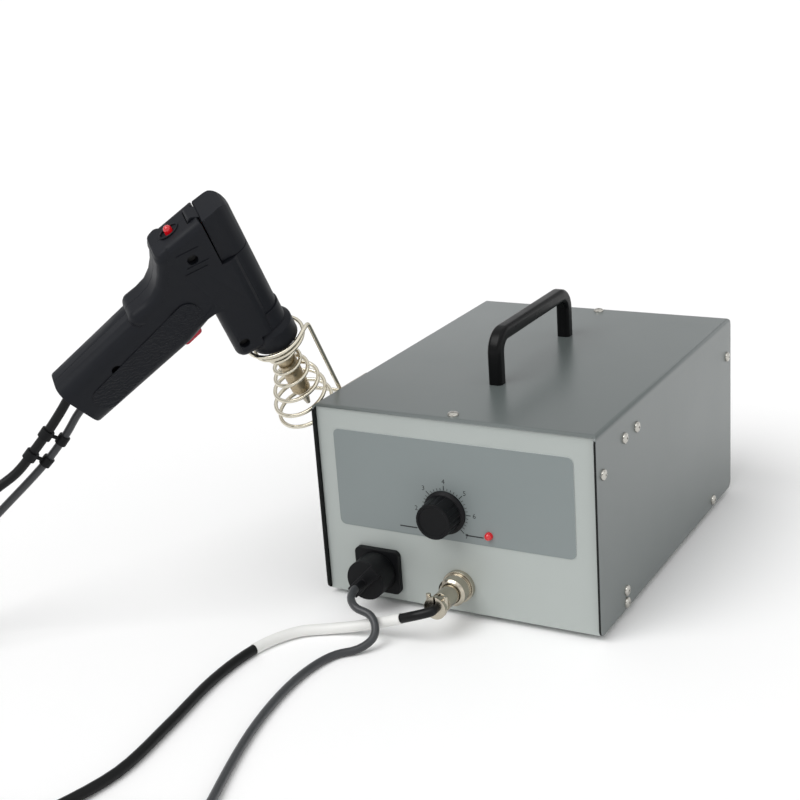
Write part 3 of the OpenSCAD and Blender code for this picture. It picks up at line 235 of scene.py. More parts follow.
# the film's cut rim, paler than the film: a painted highlight along the overlay's edges
overlayRimHighlight = makeMaterial("paintedHighlightFilmRim", "#cfd4d3", 0.3, 0.0, 0.02, 30, 0.04, 0.4, 0.002)
# printed polycarbonate film over silver ink: cooler and flatter than the enamel
overlayFilm = makeMaterial("printedPolycarbonateFilm", "#7f8787", 0.4, 0.1, 0.02, 90, 0.03, 0.3, 0.004)
# moulded ABS with a spark-eroded skin
mouldedAbs = makeMaterial("mouldedBlackAbs", "#0b0c0e", 0.5, 0.0, 0.18, 14, 0.07, 0.35, 0.014,
                          sockets={"Specular IOR Level": 0.17})
# the iron's glass-filled nylon: a blue-black with a dull sheen
shellNylon = makeMaterial("glassFilledNylon", "#15171c", 0.46, 0.0, 0.16, 18, 0.08, 0.4, 0.016,
                          sockets={"Specular IOR Level": 0.16})
# powder coat on the carrying handle
blackCoat = makeMaterial("blackPowderCoat", "#070809", 0.3, 0.0, 0.15, 20, 0.05, 0.7, 0.012,
                         sockets={"Specular IOR Level": 0.14})
# bright nickel on steel, drawn wire: warm reflections with faint draw lines
nickelWire = makeMaterial("brightNickelWire", "#d6d0bf", 0.14, 1.0, 0.05, 6, 0.05, 0.5, 0.004)
# turned and plated brass of the connector
nickelPlate = makeMaterial("turnedNickelPlate", "#b8b1a2", 0.2, 1.0, 0.08, 5, 0.07, 0.5, 0.008, (1, 12, 1))
# stainless heater tube, tinted by heat
heaterSteel = makeMaterial("heatTintedStainless", "#b3a58c", 0.3, 1.0, 0.18, 7, 0.08, 0.4, 0.006)
# zinc-plated screws
screwZinc = makeMaterial("zincPlatedSteel", "#bfbdb6", 0.24, 1.0, 0.08, 2, 0.08, 0.3, 0.006)
# black PVC of the iron's cable
cablePvc = makeMaterial("blackPvcJacket", "#0b0c0d", 0.4, 0.0, 0.2, 12, 0.08, 0.5, 0.02,
                        sockets={"Specular IOR Level": 0.22})
# gray-black silicone of the vacuum hose
hoseSilicone = makeMaterial("graySiliconeHose", "#2b2d30", 0.36, 0.0, 0.14, 10, 0.06, 0.6, 0.012,
                            sockets={"Sheen Weight": 0.15})
# white heat-shrink sleeve
whiteShrink = makeMaterial("whitePolyolefinSleeve", "#e6e6e3", 0.38, 0.0, 0.02, 8, 0.05, 0.8, 0.01)
# rubber of feet and grommet
blackRubber = makeMaterial("blackNitrileRubber", "#101010", 0.72, 0.0, 0.15, 6, 0.05, 0.4, 0.03,
                           sockets={"Specular IOR Level": 0.25})
# clear red epoxy lens
redLens = makeMaterial("redEpoxyLens", "#c20f1d", 0.12, 0.0, 0.08, 2, 0.03, 0.5, 0.002,
                       sockets={"Transmission Weight": 0.35, "IOR": 1.52, "Emission Color": linear("#ff1526"),
                                "Emission Strength": 0.15, "Coat Weight": 0.5, "Coat Roughness": 0.06})
# crimson moulded acetal of the trigger
redAcetal = makeMaterial("crimsonAcetal", "#ab0f2e", 0.38, 0.0, 0.08, 6, 0.05, 0.3, 0.01)
# screen-printed ink
printInk = makeMaterial("blackScreenInk", "#15171a", 0.55, 0.0, 0.1, 3, 0.04, 0.2, 0.002)
# clear glass of the filter pipe
clearGlass = makeMaterial("borosilicateTube", "#e8efee", 0.05, 0.0, 0.01, 9, 0.01, 1.0, 0.001,
                          sockets={"Transmission Weight": 0.95, "IOR": 1.47})
# pressed cotton of the filters
whiteFelt = makeMaterial("pressedCottonFelt", "#dedbd0", 0.95, 0.0, 0.08, 1.2, 0.03, 0.12, 0.12,
                         sockets={"Sheen Weight": 0.4})
# moulded silicone of the iron's seals
redSilicone = makeMaterial("mouldedRedSilicone", "#a8341f", 0.5, 0.0, 0.08, 5, 0.05, 0.5, 0.01)
# green solder mask on the board
boardLaminate = makeMaterial("solderMaskLaminate", "#14512b", 0.35, 0.0, 0.15, 3, 0.08, 0.4, 0.01)
# stacked silicon steel of the transformer
coreSteel = makeMaterial("variedSiliconSteel", "#4c4f52", 0.45, 0.7, 0.2, 4, 0.1, 0.5, 0.06, (1, 1, 0.02))
# amber tape round the winding
windingTape = makeMaterial("amberPolyesterTape", "#a8772a", 0.3, 0.0, 0.1, 6, 0.06, 0.6, 0.02)
# black phosphate on the iron's screws
phosphateSteel = makeMaterial("phosphatedSteel", "#232323", 0.5, 0.6, 0.12, 2, 0.08, 0.3, 0.01)
# zinc-plated steel of motor and potentiometer
motorZinc = makeMaterial("zincPlatedMotorCan", "#9ea09d", 0.3, 1.0, 0.08, 6, 0.06, 0.5, 0.006)


rippleSet = {"stepMm": 2.1, "depthMm": 0.3, "distortion": 9.0, "turn": (0.3, 0.5, 0.9)}


def gripMaterial():
    # the same nylon with the grip's moulded ripples, bent at random
    material = makeMaterial("rippledNylon", "#15171c", 0.5, 0.0, 0.16, 18, 0.06, 0.4, 0.014,
                            sockets={"Specular IOR Level": 0.16})
    tree = material.node_tree
    shader = tree.nodes["Principled BSDF"]
    place = addNode(tree, "ShaderNodeTexCoord")
    turned = addNode(tree, "ShaderNodeMapping", {"Rotation": rippleSet["turn"]}, {"Vector": place.outputs["Object"]})
    # at scale 1 the texture's wave is 2 pi / 20 units long
    ripples = addNode(tree, "ShaderNodeTexWave",
                      {"Scale": 2 * math.pi / 20 * 1000 / rippleSet["stepMm"], "Distortion": rippleSet["distortion"],
                       "Detail": 2.0, "Detail Scale": 1.4}, {"Vector": turned.outputs[0]})
    bump = addNode(tree, "ShaderNodeBump", {"Strength": 1.0, "Distance": rippleSet["depthMm"] * mm},
                   {"Height": ripples.outputs[1], "Normal": shader.inputs["Normal"].links[0].from_socket})
    tree.links.new(bump.outputs[0], shader.inputs["Normal"])
    return material


rippledNylon = gripMaterial()
print("materials made")


# ---- cords: the cable and the vacuum hose, each one length from the iron by its coil to the front

cableSet = {"diameterMm": 6, "length": 1.276, "gripX": -3, "coilAt": (-140, -446), "coilRadius": 36,
            "coilStart": -90, "coilTurns": 2.25, "easeRounds": 0, "frontEnd": (1, -156, 21.7)}
hoseSet = {"diameterMm": 5, "length": 1.325, "gripX": 9, "coilAt": (-42, -406), "coilRadius": 31,
           "coilStart": -60, "coilTurns": 13 / 6, "easeRounds": 6, "frontEnd": (-55, -153.3, 23.8)}
# shared by both: where they leave the grip and meet the front, and how finely they are laid
layingSet = {"exitMm": 130, "leadMm": 133, "frontLeadMm": 2, "turnGapMm": 0.8, "perTurn": 32, "curveSteps": 5}
# places in mm, the iron's routes from the grip to the coil, the front's from the station to the coil
cableIronRoute = [(-210.5, -219.9, 144.8), (-217.3, -224, 134.6), (-226.3, -229.5, 122.3),
                  (-237.7, -236.4, 108.2), (-253, -248, 95), (-267, -262, 74), (-277, -280, 46),
                  (-285, -300, 20), (-290, -330, 3.4), (-284, -380, 3), (-262, -426, 3), (-226, -462, 3),
                  (-184, -480, 3)]
hoseIronRoute = [(-206.8, -211.2, 139.1), (-213.2, -215.1, 128.4), (-222.6, -220.8, 115.4),
                 (-234.1, -227.8, 102.1), (-256, -241, 79), (-274, -252, 59), (-291, -262, 36),
                 (-306, -280, 14), (-313, -312, 2.8), (-311, -366, 2.5), (-292, -424, 2.5),
                 (-242, -482, 2.5), (-170, -510, 2.5), (-104, -496, 2.5), (-60, -462, 2.5)]
cableFrontRoute = [(0, -160, 21.2), (-7, -163, 19.3), (-18, -163.5, 15.3), (-32, -164.5, 10.6), (-49, -167, 6),
                   (-64, -172, 4), (-82, -184, 3.8), (-94, -210, 3.2), (-96, -250, 3), (-90, -300, 3),
                   (-86, -350, 3), (-96, -400, 5)]
hoseFrontRoute = [(-53.9, -160.9, 22.6), (-50.6, -165.5, 20.8), (-45.2, -168.4, 18.9),
                  (-38.1, -168.3, 17.5), (-33.2, -170.2, 14.6), (-29.9, -174.3, 10.8),
                  (-29.5, -180.3, 6.5), (-36.7, -189.1, 2.6), (-47, -198, 2.5), (-52, -230, 2.5),
                  (-46, -280, 2.5), (-32, -330, 2.5), (-16, -376, 4)]


def laidCoil(settings):
    # spirals in on the table, climbs where it turns back, and spirals out on top
    d, turns, radius = settings["diameterMm"], settings["coilTurns"], settings["coilRadius"]
    pitch = d + layingSet["turnGapMm"]
    middle = Vector(settings["coilAt"] + (0,))
    count = math.ceil(turns * layingSet["perTurn"])
    made = []
    for i in range(count + 1):
        t = turns * i / count
        a = math.radians(settings["coilStart"] + 360 * t)
        r = radius - pitch * min(t, turns - t)
        s = max(0, min(1, 2 * (t - turns / 2) + 0.5))
        made.append(middle + Vector((r * math.cos(a), r * math.sin(a), d / 2 + pitch * s * s * (3 - 2 * s))))
    first = math.radians(settings["coilStart"])
    last = math.radians(settings["coilStart"] + 360 * turns)
    before = made[0] - d * Vector((-math.sin(first), math.cos(first), 0))
    after = made[-1] + d * Vector((-math.sin(last), math.cos(last), 0))
    return [before] + made + [after]


def cordPath(settings, ironRoute, frontRoute):
    steps = layingSet["curveSteps"]
    exitAt = gripFrame @ Vector((settings["gripX"] * mm, 0, -layingSet["exitMm"] * mm))
    leadAt = gripFrame @ Vector((settings["gripX"] * mm, 0, -layingSet["leadMm"] * mm))
    coil = [p * mm for p in laidCoil(settings)]
    ironRun = smoothCurve([leadAt] + [Vector(p) * mm for p in ironRoute] + [coil[0]], steps)
    end = Vector(settings["frontEnd"]) * mm
    frontLead = end + Vector((0, -layingSet["frontLeadMm"] * mm, 0))
    frontRun = smoothCurve([coil[-1]] + [Vector(p) * mm for p in reversed(frontRoute)] + [frontLead], steps)
    for _ in range(settings["easeRounds"]):
        eased = [(a + 2 * b + c) / 4 for a, b, c in zip(frontRun, frontRun[1:], frontRun[2:])]
        frontRun = frontRun[:1] + eased + frontRun[-1:]
    path = [exitAt] + ironRun + coil[1:-1] + frontRun + [end]
    low = settings["diameterMm"] * mm / 2
    return [Vector((p.x, p.y, max(p.z, low))) for p in path]


def cordPiece(name, path, settings, material):
    curve = bpy.data.curves.new(name, "CURVE")
    curve.dimensions = "3D"
    spline = curve.splines.new("POLY")
    spline.points.add(len(path) - 1)
    for point, at in zip(spline.points, path):
        point.co = (*at, 1)
    spline.use_smooth = True
    curve.bevel_depth = settings["diameterMm"] * mm / 2
    curve.bevel_resolution = 5
    curve.use_fill_caps = True
    curve.twist_mode = "MINIMUM"
    return addPiece(name, curve, "station", material)


cablePath = cordPath(cableSet, cableIronRoute, cableFrontRoute)
hosePath = cordPath(hoseSet, hoseIronRoute, hoseFrontRoute)
ironCable = cordPiece("ironCable", cablePath, cableSet, cablePvc)
vacuumHose = cordPiece("vacuumHose", hosePath, hoseSet, hoseSilicone)
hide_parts("cable_iron_run", "cable_coil", "cable_front_run")
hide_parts("hose_iron_run", "hose_coil", "hose_front_run")

sleeveSet = {"radiusMm": 3.4, "sides": 24, "fromPoint": 2, "toPoint": 7}
sleeveSteps = layingSet["curveSteps"]
sleeveCurve = smoothCurve([Vector(p) * mm for p in cableFrontRoute], sleeveSteps)
sleeveCurve = sleeveCurve[sleeveSet["fromPoint"] * sleeveSteps:sleeveSet["toPoint"] * sleeveSteps + 1]
sleeveMesh = sweepTube("cableSleeve", sleeveCurve, sleeveSet["radiusMm"] * mm, sleeveSet["sides"])
cableSleeve = addPiece("cableSleeve", sleeveMesh, "station", whiteShrink)
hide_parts("cable_sleeve")
cordClips = dressed("cord_clips", "station", mouldedAbs, 0.2)
print("cords laid")


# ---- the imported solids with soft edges

dressing = [
    ("chassis", "station", "silver_paint", silverEnamel, 0.25),
    ("cover", "station", "gray_paint", grayEnamel, 0.35),
    ("front_overlay", "station", "overlay_film", overlayFilm, 0.15),
    ("carry_handle", "station", "black_plastic", blackCoat, 0),
    ("rubber_feet", "station", "black_rubber", blackRubber, 0.5),
    ("vacuum_flange", "station", "black_plastic", mouldedAbs, 0.4),
    ("vacuum_cap", "outlet_cap", "black_plastic", mouldedAbs, 0.5),
    ("receptacle", "station", "nickel", nickelPlate, 0.25),
    ("plug_shell", "station", "nickel", nickelPlate, 0.25),
    ("plug_clamp", "station", "nickel", nickelPlate, 0.25),
    ("plug_ring", "plug_ring", "nickel", nickelPlate, 0.25),
    ("mains_inlet", "station", "black_plastic", mouldedAbs, 0.3),
    ("mains_pins", "station", "nickel", nickelPlate, 0.25),
    ("fuse_holder", "station", "black_plastic", mouldedAbs, 0.3),
    ("fuse_cap", "fuse_cap", "black_plastic", mouldedAbs, 0.3),
    ("switch_housing", "station", "black_plastic", mouldedAbs, 0.3),
    ("rocker", "rocker", "black_plastic", mouldedAbs, 0.3),
    ("holder_clamp", "station", "nickel", nickelPlate, 0.3),
    ("knob", "knob", "black_plastic", mouldedAbs, 0.25),
    ("pot_shaft", "knob", "nickel", nickelPlate, 0.2),
    ("potentiometer", "station", "nickel", motorZinc, 0.2),
    ("iron_shell_left", "iron", "shell_plastic", shellNylon, 0.3),
    ("iron_shell_right", "iron", "shell_plastic", shellNylon, 0.3),
    ("iron_collar", "iron", "shell_plastic", shellNylon, 0.3),
    ("heater_cover", "iron", "shell_plastic", shellNylon, 0.5),
    ("heater_barrel", "iron", "heater_steel", heaterSteel, 0.3),
    ("nozzle", "iron", "heater_steel", nickelPlate, 0.1),
    ("iron_hood", "hood", "shell_plastic", shellNylon, 0.4),
    ("grip_grommet", "iron", "black_rubber", blackRubber, 0.3),
    ("trigger", "trigger", "red_plastic", redAcetal, 0.5),
    ("iron_led", "iron", "red_lens", redLens, 0),
    ("pump_led", "station", "red_lens", redLens, 0),
    ("status_led", "station", "red_lens", redLens, 0),
]
forms = {}
for node, body, slot, material, edge in dressing:
    forms[node] = dressed(node, body, material, edge)


def repaint(piece, material, chosen):
    # gives the faces that chosen picks another finish
    piece.data.materials.append(material)
    for face in piece.data.polygons:
        if chosen(face.center, face.normal):
            face.material_index = len(piece.data.materials) - 1


coverSet = {"halfWidthMm": 94, "halfDepthMm": 125, "topMm": 130, "skinMm": 0.7}


def isCoverInside(at, way):
    # the sheet's front and rear edges, and the faces that look at the case's middle: the faces that get the painted
    # shade
    if abs(way.y) > 0.9:
        return abs(at.y) > (coverSet["halfDepthMm"] - coverSet["skinMm"]) * mm
    onWall = abs(at.x) > (coverSet["halfWidthMm"] - coverSet["skinMm"]) * mm
    onTop = at.z >= (coverSet["topMm"] - coverSet["skinMm"]) * mm
    return not onWall and not onTop and at.x * way.x + 0.1 * way.z < 0


# painted shade: the cover's edges and inward faces take the near-black finish
repaint(forms["cover"], paintedEdgeShade, isCoverInside)
# painted highlight: the overlay's side faces take the pale rim finish
repaint(forms["front_overlay"], overlayRimHighlight, lambda at, way: abs(way.y) < 0.5)

plainFinishes = {
    "vacuum_filter": whiteFelt, "circuit_board": boardLaminate, "transformer_core": coreSteel,
    "transformer_winding": windingTape, "pump_motor": motorZinc, "pump_head": mouldedAbs, "pump_rotor": motorZinc,
    "iron_screws": phosphateSteel, "filter_pipe": clearGlass, "filter_cone": heaterSteel, "filter_disc": whiteFelt,
    "front_seal": redSilicone, "rear_seal": redSilicone, "microswitch": mouldedAbs, "hood_pin": screwZinc,
}
for node, material in plainFinishes.items():
    nodes[node].data.materials.clear()
    nodes[node].data.materials.append(material)
print("solids dressed")


# ---- screws of the cover: one pan head with a cross recess, set on points by a node tree

screwSet = {"headRadiusMm": 3.4, "headHeightMm": 2.0, "shankRadiusMm": 1.45, "facets": 28, "sharpDeg": 28,
            "recessMm": 1.5, "recessWideMm": 0.36, "plateMm": 2.0, "onPlate": (-81, -61),
            "sides": [(-115.4, 104), (115.4, 104), (-81, 114), (-61, 114), (-83, 16.3), (-83, 8.3), (83.5, 9.4)],
            "tops": [-115.5, 115.5]}


def crossCutter(settings):
    # two tapered blocks crossed over the head
    bm = bmesh.new()
    long, wide, high = (settings[key] * mm for key in ("recessMm", "recessWideMm", "headHeightMm"))
    for turn in (0, 90):
        made = bmesh.ops.create_cube(bm, size=1)["verts"]
        bmesh.ops.scale(bm, verts=made, vec=(2 * long, 2 * wide, 1.6 * high))
        bmesh.ops.translate(bm, verts=made, vec=(0, 0, 1.15 * high))
        for v in made:
            if v.co.z < high:
                v.co.x *= 0.45
                v.co.y *= 0.6
        bmesh.ops.rotate(bm, verts=made, cent=(0, 0, 0), matrix=Matrix.Rotation(math.radians(turn), 3, "Z"))
    mesh = bpy.data.meshes.new("crossCutter")
    bm.to_mesh(mesh)
    bm.free()
    return linkObject("crossCutter", mesh)


def screwHead(settings):
    bm = bmesh.new()
    r, h, shank = settings["headRadiusMm"] * mm, settings["headHeightMm"] * mm, settings["shankRadiusMm"] * mm
    profile = [(shank, -h), (shank, 0), (r, 0.02 * h), (r, 0.35 * h), (0.93 * r, 0.62 * h), (0.74 * r, 0.86 * h),
               (0.45 * r, 0.97 * h), (0.0001 * r, h)]
    angles = [2 * math.pi * k / settings["facets"] for k in range(settings["facets"])]
    rings = [[bm.verts.new((x * math.cos(a), x * math.sin(a), z)) for a in angles] for x, z in profile]
    joinRings(bm, rings)
    bm.faces.new(list(reversed(rings[0])))
    bmesh.ops.remove_doubles(bm, verts=bm.verts, dist=1e-6)
    head = linkObject("screwHead", finishMesh(bm, "screwHead"))
    cross = crossCutter(settings)
    cut = head.modifiers.new("recess", "BOOLEAN")
    cut.operation = "DIFFERENCE"
    cut.object = cross
    cut.use_self = True
    done = evaluatedMesh(head)
    shadeSmooth(done, settings["sharpDeg"])
    head.modifiers.clear()
    head.data = done
    bpy.data.objects.remove(cross)
    return head


def scatterTree(material):
    # sets the given object on every point, turned to the point's own outward direction
    tree = bpy.data.node_groups.new("setOnPoints", "GeometryNodeTree")
    tree.interface.new_socket("Points", in_out="INPUT", socket_type="NodeSocketGeometry")
    tree.interface.new_socket("Fastener", in_out="INPUT", socket_type="NodeSocketObject")
    tree.interface.new_socket("Fastener size", in_out="INPUT", socket_type="NodeSocketFloat")
    tree.interface.new_socket("Geometry", in_out="OUTPUT", socket_type="NodeSocketGeometry")
    begin = addNode(tree, "NodeGroupInput")
    info = addNode(tree, "GeometryNodeObjectInfo", None, {"Object": begin.outputs["Fastener"]})
    outward = addNode(tree, "GeometryNodeInputNamedAttribute", {"data_type": "FLOAT_VECTOR", "Name": "outward"})
    spin = addNode(tree, "GeometryNodeInputNamedAttribute", {"data_type": "FLOAT", "Name": "spin"})
    spun = addNode(tree, "ShaderNodeCombineXYZ", None, {"Z": spin.outputs[0]})
    turned = addNode(tree, "FunctionNodeEulerToRotation", None, {0: spun.outputs[0]})
    aligned = addNode(tree, "FunctionNodeAlignRotationToVector", {"axis": "Z"}, {"Vector": outward.outputs[0]})
    both = addNode(tree, "FunctionNodeRotateRotation", {"rotation_space": "LOCAL"},
                   {0: aligned.outputs[0], 1: turned.outputs[0]})
    placed = addNode(tree, "GeometryNodeInstanceOnPoints", None,
                     {"Points": begin.outputs["Points"], "Instance": info.outputs["Geometry"],
                      "Rotation": both.outputs[0], "Scale": begin.outputs["Fastener size"]})
    real = addNode(tree, "GeometryNodeRealizeInstances", None, {0: placed.outputs[0]})
    painted = addNode(tree, "GeometryNodeSetMaterial", {"Material": material}, {"Geometry": real.outputs[0]})
    end = addNode(tree, "NodeGroupOutput")
    tree.links.new(painted.outputs[0], end.inputs[0])
    return tree


def setInput(tree, modifier, name, value):
    socket = next(s for s in tree.interface.items_tree if s.name == name and s.in_out == "INPUT")
    modifier[socket.identifier] = value


def bakeNodes(name, mesh, tree, values, body):
    # runs the tree on the mesh and keeps the result as a plain mesh
    carrier = linkObject(name + "Carrier", mesh)
    modifier = carrier.modifiers.new("build", "NODES")
    modifier.node_group = tree
    for key, value in values.items():
        setInput(tree, modifier, key, value)
    bpy.context.view_layer.update()
    done = evaluatedMesh(carrier)
    done.name = name
    bpy.data.objects.remove(carrier)
    return addPiece(name, done, body)


def pointMesh(places):
    # places are (point, outward direction, spin)
    mesh = bpy.data.meshes.new("places")
    mesh.from_pydata([p for p, n, s in places], [], [])
    mesh.attributes.new("outward", "FLOAT_VECTOR", "POINT")
    mesh.attributes.new("spin", "FLOAT", "POINT")
    for i, (p, n, s) in enumerate(places):
        mesh.attributes["outward"].data[i].vector = n
        mesh.attributes["spin"].data[i].value = s
    return mesh


screwPlaces = []
for side in (-1, 1):
    for i, (y, z) in enumerate(screwSet["sides"]):
        lift = screwSet["plateMm"] if side < 0 and y in screwSet["onPlate"] else 0
        place = Vector((side * (coverSet["halfWidthMm"] + lift), y, z)) * mm
        screwPlaces.append((place, (side, 0, 0), 0.7 * i + side))
for i, y in enumerate(screwSet["tops"]):
    screwPlaces.append((Vector((0, y, coverSet["topMm"])) * mm, (0, 0, 1), 0.4 + i))
head = screwHead(screwSet)
coverScrews = bakeNodes("coverScrews", pointMesh(screwPlaces), scatterTree(screwZinc),
                        {"Fastener": head, "Fastener size": 1.0}, "station")
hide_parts("cover_screws")
bpy.data.objects.remove(head)
print("screws set")


# ---- prints on the front: the dial's ticks and figures, and the two lamp lines

dialSet = {"x": -6, "z": 69.3, "frontY": -122.5, "ink": 0.05, "inner": 14.2, "firstDeg": 225, "lastDeg": -45,
           "ticks": [("dialMinorTicks", 31, 15.7, 0.4), ("dialMajorTicks", 7, 17.3, 0.55)],
           "figures": 7, "figureStepDeg": 45, "figureAt": 19.7, "figureMm": 4.4, "figureDeep": 0.02,
           "figureOut": 0.03}


def tickTree(material):
    # bars round an arc in the XZ plane
    tree = bpy.data.node_groups.new("dialTicks", "GeometryNodeTree")
    for name, kind in (("Geometry", "NodeSocketGeometry"), ("Ticks", "NodeSocketInt"),
                       ("First angle", "NodeSocketFloat"), ("Step", "NodeSocketFloat"),
                       ("Middle radius", "NodeSocketFloat"), ("Bar size", "NodeSocketVector"),
                       ("Centre", "NodeSocketVector")):
        tree.interface.new_socket(name, in_out="INPUT", socket_type=kind)
    tree.interface.new_socket("Geometry", in_out="OUTPUT", socket_type="NodeSocketGeometry")
    begin = addNode(tree, "NodeGroupInput")
    index = addNode(tree, "GeometryNodeInputIndex")
    angle = addNode(tree, "ShaderNodeMath", {"operation": "MULTIPLY_ADD"},
                    {0: index.outputs[0], 1: begin.outputs["Step"], 2: begin.outputs["First angle"]})
    across = addNode(tree, "ShaderNodeMath", {"operation": "COSINE"}, {0: angle.outputs[0]})
    up = addNode(tree, "ShaderNodeMath", {"operation": "SINE"}, {0: angle.outputs[0]})
    way = addNode(tree, "ShaderNodeCombineXYZ", None, {"X": across.outputs[0], "Z": up.outputs[0]})
    out = addNode(tree, "ShaderNodeVectorMath", {"operation": "SCALE"},
                  {0: way.outputs[0], "Scale": begin.outputs["Middle radius"]})
    at = addNode(tree, "ShaderNodeVectorMath", {"operation": "ADD"}, {0: out.outputs[0], 1: begin.outputs["Centre"]})
    points = addNode(tree, "GeometryNodePoints", None, {"Count": begin.outputs["Ticks"], "Position": at.outputs[0]})
    bar = addNode(tree, "GeometryNodeMeshCube", None, {"Size": begin.outputs["Bar size"]})
    minus = addNode(tree, "ShaderNodeMath", {"operation": "MULTIPLY", 1: -1.0}, {0: angle.outputs[0]})
    turn = addNode(tree, "ShaderNodeCombineXYZ", None, {"Y": minus.outputs[0]})
    rotation = addNode(tree, "FunctionNodeEulerToRotation", None, {0: turn.outputs[0]})
    placed = addNode(tree, "GeometryNodeInstanceOnPoints", None,
                     {"Points": points.outputs[0], "Instance": bar.outputs[0], "Rotation": rotation.outputs[0]})
    real = addNode(tree, "GeometryNodeRealizeInstances", None, {0: placed.outputs[0]})
    painted = addNode(tree, "GeometryNodeSetMaterial", {"Material": material}, {"Geometry": real.outputs[0]})
    end = addNode(tree, "NodeGroupOutput")
    tree.links.new(painted.outputs[0], end.inputs[0])
    return tree


tickBars = tickTree(printInk)
span = math.radians(dialSet["firstDeg"] - dialSet["lastDeg"])
centre = Vector((dialSet["x"], dialSet["frontY"], dialSet["z"])) * mm
for name, count, outer, thick in dialSet["ticks"]:
    inner = dialSet["inner"]
    bakeNodes(name, bpy.data.meshes.new(name), tickBars,
              {"Ticks": count, "First angle": math.radians(dialSet["lastDeg"]), "Step": span / (count - 1),
               "Middle radius": (inner + outer) / 2 * mm, "Centre": centre,
               "Bar size": ((outer - inner) * mm, dialSet["ink"] * mm, thick * mm)}, "station")


def printedFigure(name, words, x, z):
    curve = bpy.data.curves.new(name, "FONT")
    curve.body = words
    curve.size = dialSet["figureMm"] * mm
    curve.align_x = "CENTER"
    curve.align_y = "CENTER"
    curve.extrude = dialSet["figureDeep"] * mm
    carrier = linkObject(name, curve)
    mesh = evaluatedMesh(carrier)
    bpy.data.objects.remove(carrier)
    place = Matrix.Translation(Vector((x, dialSet["frontY"] - dialSet["figureOut"], z)) * mm)
    mesh.transform(place @ Matrix.Rotation(math.pi / 2, 4, "X"))
    return addPiece(name, mesh, "station", printInk)


for figure in range(1, dialSet["figures"] + 1):
    a = math.radians(dialSet["firstDeg"] - (figure - 1) * dialSet["figureStepDeg"])
    r = dialSet["figureAt"]
    printedFigure("dialFigure%d" % figure, str(figure), dialSet["x"] + r * math.cos(a),
                  dialSet["z"] + r * math.sin(a))


def roundedBar(name, length, height, depth, radius, place, body, material, cut, sharpDeg=35):
    # a slim closed block with rounded corners, in the plane of its length and height
    bm = bmesh.new()
    outline = []
    for cx, cz, start in ((1, 1, 0), (-1, 1, 90), (-1, -1, 180), (1, -1, 270)):
        for k in range(cut + 1):
            a = math.radians(start + 90 * k / cut)
            outline.append((cx * (length / 2 - radius) + radius * math.cos(a),
                            cz * (height / 2 - radius) + radius * math.sin(a)))
    low = [bm.verts.new((x * mm, 0, z * mm)) for x, z in outline]
    made = bmesh.ops.extrude_face_region(bm, geom=[bm.faces.new(low)])["geom"]
    for v in made:
        if isinstance(v, bmesh.types.BMVert):
            v.co.y -= depth * mm
    mesh = finishMesh(bm, name)
    mesh.transform(place)
    shadeSmooth(mesh, sharpDeg)
    return addPiece(name, mesh, body, material)


lineSet = {"longMm": 12, "highMm": 0.8, "deepMm": 0.06, "cornerMm": 0.2, "sunkMm": 0.01, "z": 56.1,
           "middles": [("pumpLine", 13.2), ("statusLine", -31.9)]}
for name, x in lineSet["middles"]:
    place = Matrix.Translation(Vector((x, dialSet["frontY"] + lineSet["sunkMm"], lineSet["z"])) * mm)
    roundedBar(name, lineSet["longMm"], lineSet["highMm"], lineSet["deepMm"], lineSet["cornerMm"], place,
               "station", printInk, 2)
print("prints placed")


# ---- holder: the whole wire in one sweep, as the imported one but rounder

holderSet = {"wireMm": 2.6, "ringMm": 18, "depthMm": 70, "turns": 7.75, "perTurn": 48, "sides": 14,
             "stemY": 13, "stemZ": (-80, -40), "bendMm": (1.6, 2.2), "bendAngles": (0.5, 0.9, 1.3),
             "ringLead": ((9.5, -0.1), (6, 0), (3, 0)), "swayMm": 3, "swayFrom": 5,
             "radiusShares": [1, 0.98, 0.55, 0.50, 0.62, 0.80, 0.97, 1.02, 1.02],
             "depthShares": [0, 0.046, 0.17, 0.326, 0.443, 0.593, 0.757, 0.907, 1.01]}


def alongTurns(values, t):
    i = min(math.floor(t), len(values) - 2)
    return splineAt(values[max(i - 1, 0)], values[i], values[i + 1], values[min(i + 2, len(values) - 1)], t - i)


def holderCoil(t):
    r = alongTurns(holderSet["radiusShares"], t) * holderSet["ringMm"]
    s = alongTurns(holderSet["depthShares"], t) * holderSet["depthMm"]
    shift = -holderSet["swayMm"] * max(0, min(1, t - holderSet["swayFrom"]))
    return Vector((r * math.cos(2 * math.pi * t) + shift, -r * math.sin(2 * math.pi * t), -s))


wire, ring, stemY = holderSet["wireMm"], holderSet["ringMm"], holderSet["stemY"]
bendY, bendZ = holderSet["bendMm"]
steps = int(holderSet["turns"] * holderSet["perTurn"])
coilEnd = holderCoil(holderSet["turns"])
wallAt = -coverSet["halfWidthMm"] - screwSet["plateMm"] - restSet["place"][0] / mm
holderPath = ([Vector((ring, stemY, z)) for z in holderSet["stemZ"] + (-wire,)]
              + [Vector((ring, stemY - bendY * (1 - math.cos(a)), -wire + bendZ * math.sin(a)))
                 for a in holderSet["bendAngles"]]
              + [Vector((ring, y, z)) for y, z in holderSet["ringLead"]]
              + [holderCoil(i / holderSet["perTurn"]) for i in range(steps + 1)]
              + [Vector((x, coilEnd.y, coilEnd.z)) for x in (wallAt - 2 * wire, wallAt)])
holderMesh = sweepTube("holderWire", [p * mm for p in holderPath], wire / 2 * mm, holderSet["sides"])
holderMesh.transform(holderFrame)
holderWire = addPiece("holderWire", holderMesh, "station", nickelWire)
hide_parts("holder_wire")
print("holder wound")


# ---- iron: rippled grip panels, ribs, the smoothed rear and heel, and the lamp's lip

